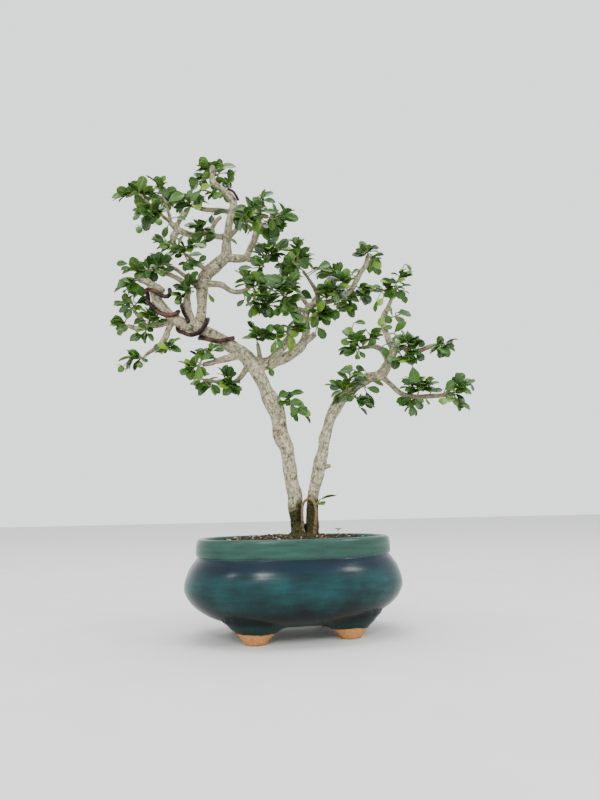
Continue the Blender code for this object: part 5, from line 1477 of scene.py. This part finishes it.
def soil_place(draw, reach):
    """A random place on the soil."""
    while True:
        x, y = draw.uniform(-1, 1), draw.uniform(-1, 1)
        if abs(x) ** PLAN_POWER + abs(y) ** PLAN_POWER < reach ** PLAN_POWER:
            return soil_level(x * INNER_HALF * 0.97, y * INNER_HALF * POT_DEPTH_SHARE * 0.95)


def stone_shape(draw, place, radius):
    """A broken, uneven stone."""
    points, faces = ball_shape(Vector(), radius, 1)
    stretch = Vector((draw.uniform(0.8, 1.3), draw.uniform(0.75, 1.1), draw.uniform(0.55, 0.85)))
    turn = Matrix.Rotation(draw.uniform(0, math.tau), 3, "Z")
    turn = turn @ Matrix.Rotation(draw.uniform(-0.6, 0.6), 3, "X")
    made = []
    for point in points:
        point = point * (1 + draw.uniform(-0.18, 0.18))
        made.append(place + turn @ Vector([a * b for a, b in zip(point, stretch)]))
    return made, faces


def root_rings(middle):
    """The root base that both trunks grow from, as a closed shape."""
    points = []
    for height, long, deep in ROOT_SECTIONS:
        points += [point + middle for point in plan_ring(long, deep, height, ROOT_POINTS, 2.0)]
    return points, ring_faces(len(ROOT_SECTIONS), ROOT_POINTS)


def root_lines(middle):
    """The thick roots that run out over the soil, as points and radii."""
    lines = []
    for degrees, length, diameter in SURFACE_ROOTS:
        angle = math.radians(degrees)
        out = Vector((math.cos(angle), math.sin(angle) * ROOT_DEPTH_SHARE, 0))
        points = []
        for share, height, _ in ROOT_FALL:
            points.append(middle + out * length * MM * share + Vector((0, 0, height * MM)))
        lines.append((points, [diameter * MM / 2 * thick for _, _, thick in ROOT_FALL]))
    return lines


def wood_lines(root_middle):
    """Fine points and radii of every trunk, limb, branch and root, and 1 for the arched root."""
    lines = []
    for name, route in WOOD.items():
        keys = eased_line(route, ROUTE_STEPS * (len(route) - 1))
        points = [seen(*key[:3]) for key in keys]
        arched = name == "arched_root"
        spare = 0.0 if arched else SMOOTHED_AWAY
        lines.append((points, [(key[3] / 2 + spare) * MM for key in keys], float(arched)))
    for points, radii in root_lines(root_middle):
        lines.append((smooth_line(points, 4), list(np.interp(np.linspace(0, 4, 17), range(5), radii)), 0.0))
    return lines


def bark_samples(lines):
    """Frames along the middle of every limb: a search tree, and for each sample its middle, direction,
    two sides, length from the start, radius, and 1 on the arched root."""
    rows = []
    for number, (points, radii, arched) in enumerate(lines):
        side = None
        run = number * LIMB_SHIFT
        for place in range(len(points) - 1):
            step = points[place + 1] - points[place]
            along = step.normalized()
            side = side_to(along, side)
            rows.append((*points[place], *along, *side, *along.cross(side), run, radii[place], arched))
            run += step.length
    tree = KDTree(len(rows))
    for number, row in enumerate(rows):
        tree.insert(row[:3], number)
    tree.balance()
    return tree, np.array(rows)


def bark_pattern(place, pattern):
    """The noise of one pattern of the bark there, along the grain."""
    across, along, shift = pattern
    x, y, z = place
    return noise.noise(Vector((x * across, y * across, z * along + shift)))


def carve_bark(piece, look, lines):
    """Push the bark in and out along each limb, and store where it cracks and how its grain runs."""
    tree, rows = bark_samples(lines)
    mesh = piece.data
    total = len(mesh.vertices)
    points = np.empty(total * 3)
    mesh.vertices.foreach_get("co", points)
    points = points.reshape(-1, 3)
    normals = np.empty(total * 3)
    mesh.vertex_normals.foreach_get("vector", normals)
    normals = normals.reshape(-1, 3)
    nearest = rows[[tree.find(point)[1] for point in points]]
    offset = points - nearest[:, 0:3]
    grain = np.stack([
        (offset * nearest[:, 6:9]).sum(1), (offset * nearest[:, 9:12]).sum(1),
        (offset * nearest[:, 3:6]).sum(1) + nearest[:, 12]], 1)
    girth = np.clip(nearest[:, 13] / (FULL_GIRTH * MM), 0.15, 1.2)
    depth = np.empty(total)
    lump = np.empty(total)
    for number, place in enumerate(grain):
        crack = abs(bark_pattern(place, WIDE_CRACKS)) + 0.5 * abs(bark_pattern(place, FINE_CRACKS))
        ring = bark_pattern(place, RINGS)
        depth[number] = max(0.0, 1 - crack * CRACK_EDGE) + max(0.0, ring - RING_FROM) * RING_DEPTH
        lump[number] = bark_pattern(place, LUMPS)
    depth = np.clip(depth, 0, 1)
    points += normals * (lump * look.lump * girth - depth * look.fissure * girth)[:, None]
    mesh.vertices.foreach_set("co", points.ravel())
    close = np.linalg.norm(offset, axis=1) < nearest[:, 13] * ROOT_SKIN
    marks = np.stack([depth, girth, nearest[:, 14] * close], 1)
    for name, values in (("grain", grain), ("marks", marks)):
        mesh.attributes.new(name, "FLOAT_VECTOR", "POINT").data.foreach_set("vector", values.ravel())
    mesh.update()


def rounded_tube(points, radius, sides):
    """A round wire or stalk with domed ends."""
    start = (points[0] - points[1]).normalized() * radius
    end = (points[-1] - points[-2]).normalized() * radius
    line = [points[0] + start * 0.6, points[0] + start * 0.4, *points]
    line += [points[-1] + end * 0.4, points[-1] + end * 0.6]
    radii = [radius * 0.35, radius * 0.85, *[radius] * len(points), radius * 0.85, radius * 0.35]
    return tube_shape(line, radii, sides)


def leaf_faces():
    """Faces and slots of every real leaf: its upper and lower blade, and a rim round its edge."""
    total = LEAF_ROWS * LEAF_COLUMNS
    faces, slots = [], []
    for row in range(LEAF_ROWS - 1):
        for column in range(LEAF_COLUMNS - 1):
            here = row * LEAF_COLUMNS + column
            quad = (here, here + 1, here + LEAF_COLUMNS + 1, here + LEAF_COLUMNS)
            faces += [quad, tuple(corner + total for corner in reversed(quad))]
            slots += [0, 1]
    grid = np.arange(total).reshape(LEAF_ROWS, LEAF_COLUMNS)
    border = np.concatenate([grid[0], grid[1:, -1], grid[-1, -2::-1], grid[-2:0:-1, 0]]).tolist()
    for first, second in zip(border, border[1:] + border[:1]):
        faces.append((second, first, first + total, second + total))
        slots.append(0)
    return faces, slots


def fine_leaf(leaf, look, age, draw):
    """Points, faces, slots and marks of a real leaf: a waved blade with a sunken midrib, raised between
    its side veins and thin at its edge. It lies where the plain leaf of the CAD part does."""
    foot, along, side, normal, length, width, arch, toothed = leaf
    phase = draw.uniform(0, math.tau)
    curl = draw.uniform(*LEAF_CURL)
    shares, halves = zip(*LEAF_PROFILE)
    upper, lower, marks = [], [], []
    for row in range(LEAF_ROWS):
        u = row / (LEAF_ROWS - 1)
        half = float(np.interp(u, shares, halves)) * width / 2
        if toothed and u > TEETH_FROM:
            half *= 1 + TEETH_DEPTH * math.sin((u - TEETH_FROM) * TEETH_REPEATS)
        for column in range(LEAF_COLUMNS):
            v = 2 * column / (LEAF_COLUMNS - 1) - 1
            out = v * half
            blade = min(1.0, u * 6)
            rise = abs(out) * LEAF_FOLD - arch * length * u * u - curl * length * u ** 4
            rise += look.ripple * math.sin(phase + u * LEAF_WAVES + (2 if v > 0 else 0)) * v * v * blade
            pucker = abs(math.sin((u - 0.25 * abs(v)) * 2 * LEAF_WAVES))
            rise += LEAF_PUCKER * MM * pucker * min(abs(v) * 3, 1) * blade
            reach = u * length * (1 + (NOTCH_DEPTH * math.cos(v * 9) if toothed and u > 0.9 else 0))
            thick = look.edge + (look.blade - look.edge) * (1 - v * v) + 0.25 * MM * (1 - blade)
            point = foot + along * reach + side * out + normal * rise
            upper.append(tuple(point + normal * thick / 2))
            lower.append(tuple(point - normal * thick / 2))
            marks.append((u, v, age))
    return upper + lower, *leaf_faces(), marks * 2


def small_leaf(draw, points, place, tries):
    """A leaf between the CAD part's leaves, smaller and more curled, anywhere on the outer part of a stem."""
    foot, ahead = along_stem(points, place)
    turn = draw.uniform(0, math.tau) + tries
    spread = math.radians(draw.uniform(22, 95))
    return leaf_at(
        draw, foot, ahead, turn, spread, COMPANION_FORWARD, COMPANION_SWAY, COMPANION_LENGTH, COMPANION_ARCH)


def fill_leaves(index, name, stems, taken, fuller):
    """Small leaves between the leaves of a spray, clear of wood, wires and other sprays."""
    draw = random.Random(COMPANION_SEED + index)
    added = []
    for points, number in stems:
        for _ in range(round(number * fuller)):
            place = draw.uniform(0.2, 1.0)
            for tries in range(COMPANION_TRIES):
                leaf = small_leaf(draw, points, place, tries)
                if taken.free(name, leaf_shape(leaf, 0.0, LEAF_FOOT)):
                    added.append(leaf)
                    taken.add(name, leaf_shape(leaf))
                    break
    return added


def shown_at(point):
    """Where the front view shows a point: across, down, and how many millimetres behind the pot's middle."""
    place = TO_POT.transposed() @ point
    ray = place - VIEW_EYE
    ahead = ray.dot(AHEAD)
    across = VIEW_MIDDLE[0] + VIEW_FOCAL * ray.dot(RIGHT) / ahead
    return across, VIEW_MIDDLE[1] - VIEW_FOCAL * ray.dot(UP) / ahead, place.y / MM


def carriers(stems):
    """Points that may carry a leaf: across, down, back, the point, its radius and the spray it belongs to."""
    places = []
    ends = {name: stems[name][0][0][-1] for name in SPRAYS}
    for route in WOOD.values():
        for key in eased_line(route, 4 * (len(route) - 1)):
            point = seen(*key[:3])
            owner = min(ends, key=lambda name: (ends[name] - point).length)
            places.append((*key[:3], point, key[3] / 2, owner))
    for name, spray in stems.items():
        for points, _ in spray:
            for number in range(7):
                point = along_stem(points, number / 6)[0]
                places.append((*shown_at(point), point, SHOOT_START / 2, name))
    return places


def turned_leaf(entry, back, draw):
    """A leaf whose outline the front view shows as read, with its foot that far back."""
    across, down, tip_across, tip_down, width = entry
    foot = seen(across, down, back)
    flat = seen(tip_across, tip_down, back) - foot
    toward = (TO_POT @ VIEW_EYE - foot).normalized()
    dip = math.sqrt(max(0.0, (READ_LEAST * MM) ** 2 - flat.length_squared))
    reach = flat + toward * dip
    along = reach.normalized()
    level = toward.cross(along).normalized()
    level *= math.copysign(1, level.z)
    seen_width = width * flat.length / math.hypot(tip_across - across, tip_down - down)
    real_width = max(seen_width, reach.length * READ_NARROWEST)
    share = min(1.0, seen_width / real_width)
    facing = toward * share + level * math.sqrt(1 - share ** 2)
    side = facing.cross(along).normalized()
    arch = draw.uniform(*LEAF_ARCH)
    toothed = draw.random() < TOOTHED_SHARE
    return foot, along, side, along.cross(side), reach.length, real_width, arch, toothed


def read_leaves(stems, taken):
    """The leaves that stand out in the front view, each with its stalk, by spray."""
    draw = random.Random(COMPANION_SEED)
    places = carriers(stems)
    added = {name: [] for name in SPRAYS}
    for entry in READ_LEAVES:
        _, _, back, point, radius, owner = min(places, key=lambda place: (
            math.hypot(place[0] - entry[0], place[1] - entry[1]) + place[2] * READ_DEPTH_SHARE))
        for tries in range(READ_TRIES):
            leaf = turned_leaf(entry, back - radius - READ_FRONT - tries * READ_FORWARD, draw)
            foot, along = leaf[:2]
            near = (foot - point).length < READ_FAR * MM
            if taken.free(owner, leaf_shape(leaf, 0.0, LEAF_FOOT)) and near:
                knee = point.lerp(foot, READ_KNEE) - along * READ_JOINT * MM
                added[owner].append((leaf, [point, knee, foot + along * READ_JOINT * MM]))
                taken.add(owner, leaf_shape(leaf))
                break
    return added


def add_berry(shell, berry, draw):
    """A berry on its stalk, slightly pointed, with dry sepals as fine as whiskers round its foot."""
    start, knee, middle, radius = berry
    shell.add(rounded_tube(smooth_line([start, knee, middle], 5), BERRY_STALK * MM, 7), SHOOT_SLOT)
    hang = (middle - knee).normalized()
    points, faces = ball_shape(Vector(), radius, 3)
    pointed = []
    for point in points:
        low = max(0.0, point.dot(hang) / radius)
        pointed.append(middle + point + hang * low ** 6 * radius * BERRY_TIP)
    shell.add((pointed, faces), BERRY_SLOT)
    first = hang.cross(Vector((0.3, 0.2, 0.9))).normalized()
    second = hang.cross(first)
    for number in range(WHISKERS):
        angle = math.tau * number / WHISKERS + draw.uniform(-0.3, 0.3)
        out = first * math.cos(angle) + second * math.sin(angle)
        foot = middle - hang * radius * 0.85 + out * radius * 0.4
        end = foot + out * radius * draw.uniform(1.1, 1.8) + hang * radius * draw.uniform(0.2, 1.3)
        line = smooth_line([foot, foot + out * radius * 0.75, end], 3)
        shell.add(tube_shape(line, [width * MM for width in WHISKER_WIDTHS], 5), SEPAL_SLOT)


def laid_out():
    """Every spray's stems, berries and leaves as the CAD part has them, and what is taken by them."""
    shapes = []
    for route in WOOD.values():
        points, radii = traced(route)
        shapes.append(tube_shape(points, radii, sides_for(route), turn=0.2))
    wires = []
    for diameter, keys in WIRES.values():
        points = wound(diameter, keys)
        wires.append(tube_shape(points, [diameter * MM / 2] * len(points), WIRE_SIDES))
    taken = Taken(shapes, wires)
    stems = {name: lay_spray(name, taken) for name in SPRAYS}
    berries = {name: berry_places(name, stems[name]) for name in SPRAYS}
    for name, places in berries.items():
        for _, _, middle, radius in places:
            taken.add(name, ball_shape(middle, radius, 1))
    leaves = {name: grow_leaves(index, name, stems[name], taken) for index, name in enumerate(SPRAYS)}
    return stems, berries, leaves, taken


def shown(piece, slot, *nodes):
    """Put a piece on the body and let it stand for its CAD nodes. The slot is not used."""
    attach(piece, BODY)
    if nodes:
        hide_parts(*nodes)
    return piece


def root_place():
    """The foot of the tree, at floor level."""
    middle = seen(*ROOT_MIDDLE)
    middle.z = 0.0
    return middle


class BONSAI_OT_pot(bpy.types.Operator):
    """Make the glazed oval pot with its rolled rim and cloud-shaped feet"""

    bl_idname = "bonsai.pot"
    bl_label = "Pot"

    def execute(self, context):
        look = context.scene.bonsai.pot
        pot = piece_of("glazed_pot", pot_shell(look), [glaze_finish(look)])
        shown(pot, "glaze", "pot")
        return {"FINISHED"}


class BONSAI_OT_drain_mesh(bpy.types.Operator):
    """Give the CAD part's drain mesh its moulded plastic"""

    bl_idname = "bonsai.drain_mesh"
    bl_label = "Drain mesh"

    def execute(self, context):
        look = context.scene.bonsai.soil
        # Polyethylene, moulded: black, with a slight satin grain
        plastic = mottled_finish(
            "polyethylene_moulded", (look.plastic, linear("#202122")), 3.0, (0.42, 0.58), 0.05, {"IOR": 1.5})
        mesh = bpy.data.objects["drain_screen"].data
        mesh.materials.clear()
        mesh.materials.append(plastic)
        return {"FINISHED"}


def stem_shape(points):
    """A shoot's stem, rounder and thinner than the CAD part's, so that it lies inside it."""
    line = smooth_line(points, 6)
    radii = []
    for number in range(len(line)):
        width = SHOOT_START + (SHOOT_END - SHOOT_START) * number / 12
        radii.append(width * MM * STEM_SHARE)
    return tube_shape(line, radii, 8)


class BONSAI_OT_soil(bpy.types.Operator):
    """Make the soil with its grit"""

    bl_idname = "bonsai.soil"
    bl_label = "Soil"

    def execute(self, context):
        look = context.scene.bonsai.soil
        finishes = mottled_set(SOIL_FINISHES, look, {"IOR": 1.45, "Specular IOR Level": 0.2})
        soil = piece_of("soil_mix", soil_shell(look, root_place()), finishes)
        shown(soil, "soil", "soil")
        return {"FINISHED"}


class BONSAI_OT_wood(bpy.types.Operator):
    """Grow the trunks, limbs and roots together under one cracked bark"""

    bl_idname = "bonsai.wood"
    bl_label = "Trunks and branches"

    def execute(self, context):
        look = context.scene.bonsai.wood
        middle = root_place()
        shell = Shell()
        shell.add(root_rings(middle))
        lines = wood_lines(middle)
        for points, radii, _ in lines:
            shell.add(tube_shape(points, radii, WOOD_SIDES))
        wood = piece_of("grown_wood", shell, [])
        remesh = wood.modifiers.new("grown_together", "REMESH")
        remesh.mode = "VOXEL"
        remesh.voxel_size = look.grid
        soften = wood.modifiers.new("soften", "SMOOTH")
        soften.factor = 0.5
        soften.iterations = 3
        applied(wood)
        carve_bark(wood, look, lines)
        fewer = wood.modifiers.new("fewer_faces", "DECIMATE")
        fewer.ratio = WOOD_KEPT
        applied(wood)
        wood.data.materials.append(bark_finish(look, seen(*DAMP_PLACE).z))
        wood.data.shade_smooth()
        shown(wood, "bark", "tree")
        return {"FINISHED"}


class BONSAI_OT_wires(bpy.types.Operator):
    """Wind the training wires round their limbs"""

    bl_idname = "bonsai.wires"
    bl_label = "Training wires"

    def execute(self, context):
        look = context.scene.bonsai.wire
        # Patches of wear and painted sheen; the upper wire has fewer of them
        wear_and_sheen = wire_finish(look, SHEEN_AND_WEAR_FROM)
        black = wire_finish(look, UPPER_SHEEN_AND_WEAR_FROM)
        for name, (diameter, keys) in WIRES.items():
            finish = black if name == "upper_wire" else wear_and_sheen
            line = wound(diameter, keys, WIRE_FINE_STEP)
            shell = Shell()
            shell.add(rounded_tube(line, diameter * MM / 2, WIRE_FINE_SIDES))
            shown(piece_of("round_" + name, shell, [finish]), "wire", name)
        return {"FINISHED"}


class BONSAI_OT_leaves(bpy.types.Operator):
    """Grow the shoots with their leaves and berries"""

    bl_idname = "bonsai.leaves"
    bl_label = "Leaves and berries"

    def execute(self, context):
        look = context.scene.bonsai.leaves
        finishes = [leaf_finish(look), underside_finish(look)]
        finishes += mottled_set(SHOOT_FINISHES, look, {"IOR": 1.42, "Specular IOR Level": 0.4})
        stems, berries, leaves, taken = laid_out()
        read = read_leaves(stems, taken)
        for index, name in enumerate(SPRAYS):
            draw = random.Random(index + LOOKS_SEED)
            shell = Shell()
            for points, _ in stems[name]:
                shell.add(stem_shape(points), SHOOT_SLOT)
            for _, stalk in read[name]:
                shell.add(rounded_tube(smooth_line(stalk, 3), READ_STALK / 2 * MM, 6), SHOOT_SLOT)
            fuller = 0 if name in BARE_SPRAYS else look.fuller * (2 if name in DENSE_SPRAYS else 1)
            shown_leaves = leaves[name] + [leaf for leaf, _ in read[name]]
            for leaf in shown_leaves + fill_leaves(index, name, stems[name], taken, fuller):
                age = min(1.0, max(0.0, draw.gauss(*LEAF_AGE)))
                shell.add_marked(*fine_leaf(leaf, look, age, draw))
            for berry in berries[name]:
                add_berry(shell, berry, draw)
            shown(piece_of("leafy_" + name, shell, finishes, LEAF_SHARP), "leaf", "spray_" + name)
        return {"FINISHED"}


class BONSAI_OT_stage(bpy.types.Operator):
    """Lay the floor, set the lights and place the camera"""

    bl_idname = "bonsai.stage"
    bl_label = "Floor, light and camera"

    def execute(self, context):
        look = context.scene.bonsai.stage
        shell = Shell()
        corners = ((-1, -1), (1, -1), (1, 1), (-1, 1))
        shell.add(([Vector((x, y, 0)) * FLOOR_HALF for x, y in corners], [(0, 1, 2, 3)]))
        # Paper, matt: pale and even
        paper = mottled_finish(
            "paper_matt", (look.floor, linear("#cfd0cd")), 60.0, (0.75, 0.85), 0.02, {"IOR": 1.45})
        floor = piece_of("floor", shell, [paper])

        world = context.scene.world or bpy.data.worlds.new("room")
        context.scene.world = world
        world.use_nodes = True
        background = world.node_tree.nodes["Background"]
        background.inputs["Color"].default_value = look.sky
        background.inputs["Strength"].default_value = look.glow
        for name, place, width, setting, parts in LIGHTS:
            lamp = bpy.data.lights.new(name, "AREA")
            lamp.energy = getattr(look, setting) / parts
            lamp.shape = "DISK"
            lamp.size = width
            light = bpy.data.objects.new(name, lamp)
            light.location = TO_POT @ Vector(place)
            light.rotation_euler = (LIGHT_AIM - light.location).to_track_quat("-Z", "Y").to_euler()
            context.scene.collection.objects.link(light)

        lens = bpy.data.cameras.new("camera")
        lens.sensor_fit = "VERTICAL"
        lens.sensor_height = 36.0
        lens.lens = VIEW_FOCAL / (2 * VIEW_MIDDLE[1]) * lens.sensor_height
        lens.clip_start = 0.01
        camera = bpy.data.objects.new("camera", lens)
        axes = [TO_POT @ axis for axis in (RIGHT, UP, -AHEAD)]
        camera.matrix_world = Matrix.Translation(TO_POT @ VIEW_EYE) @ Matrix(axes).transposed().to_4x4()
        context.scene.collection.objects.link(camera)
        context.scene.camera = camera
        return {"FINISHED"}


class BONSAI_PT_panel(bpy.types.Panel):
    """Lists the pieces of the bonsai and their settings"""

    bl_idname = "BONSAI_PT_panel"
    bl_label = "Bonsai"
    bl_space_type = "VIEW_3D"
    bl_region_type = "UI"
    bl_category = "Bonsai"

    def draw(self, context):
        settings = context.scene.bonsai
        for maker, group in MAKERS:
            box = self.layout.box()
            box.operator(maker.bl_idname)
            look = getattr(settings, group)
            for name in look.bl_rna.properties.keys():
                if name not in ("rna_type", "name"):
                    box.prop(look, name)


MAKERS = (
    (BONSAI_OT_pot, "pot"), (BONSAI_OT_drain_mesh, "soil"), (BONSAI_OT_soil, "soil"),
    (BONSAI_OT_wood, "wood"), (BONSAI_OT_wires, "wire"), (BONSAI_OT_leaves, "leaves"),
    (BONSAI_OT_stage, "stage"))
GROUPS = (
    BonsaiPotSettings, BonsaiWoodSettings, BonsaiWireSettings, BonsaiLeafSettings, BonsaiSoilSettings,
    BonsaiStageSettings, BonsaiSettings)


def register():
    """Register the settings, operators and panel."""
    for group in GROUPS:
        bpy.utils.register_class(group)
    for maker, _ in MAKERS:
        bpy.utils.register_class(maker)
    bpy.utils.register_class(BONSAI_PT_panel)
    bpy.types.Scene.bonsai = bpy.props.PointerProperty(type=BonsaiSettings)


def unregister():
    """Take them all back out."""
    del bpy.types.Scene.bonsai
    bpy.utils.unregister_class(BONSAI_PT_panel)
    for maker, _ in reversed(MAKERS):
        bpy.utils.unregister_class(maker)
    for group in reversed(GROUPS):
        bpy.utils.unregister_class(group)


def main():
    """Make every piece and the stage."""
    register()
    bpy.ops.bonsai.pot()
    bpy.ops.bonsai.drain_mesh()
    bpy.ops.bonsai.soil()
    bpy.ops.bonsai.wood()
    bpy.ops.bonsai.wires()
    bpy.ops.bonsai.leaves()
    bpy.ops.bonsai.stage()


if __name__ == "__main__":
    main()
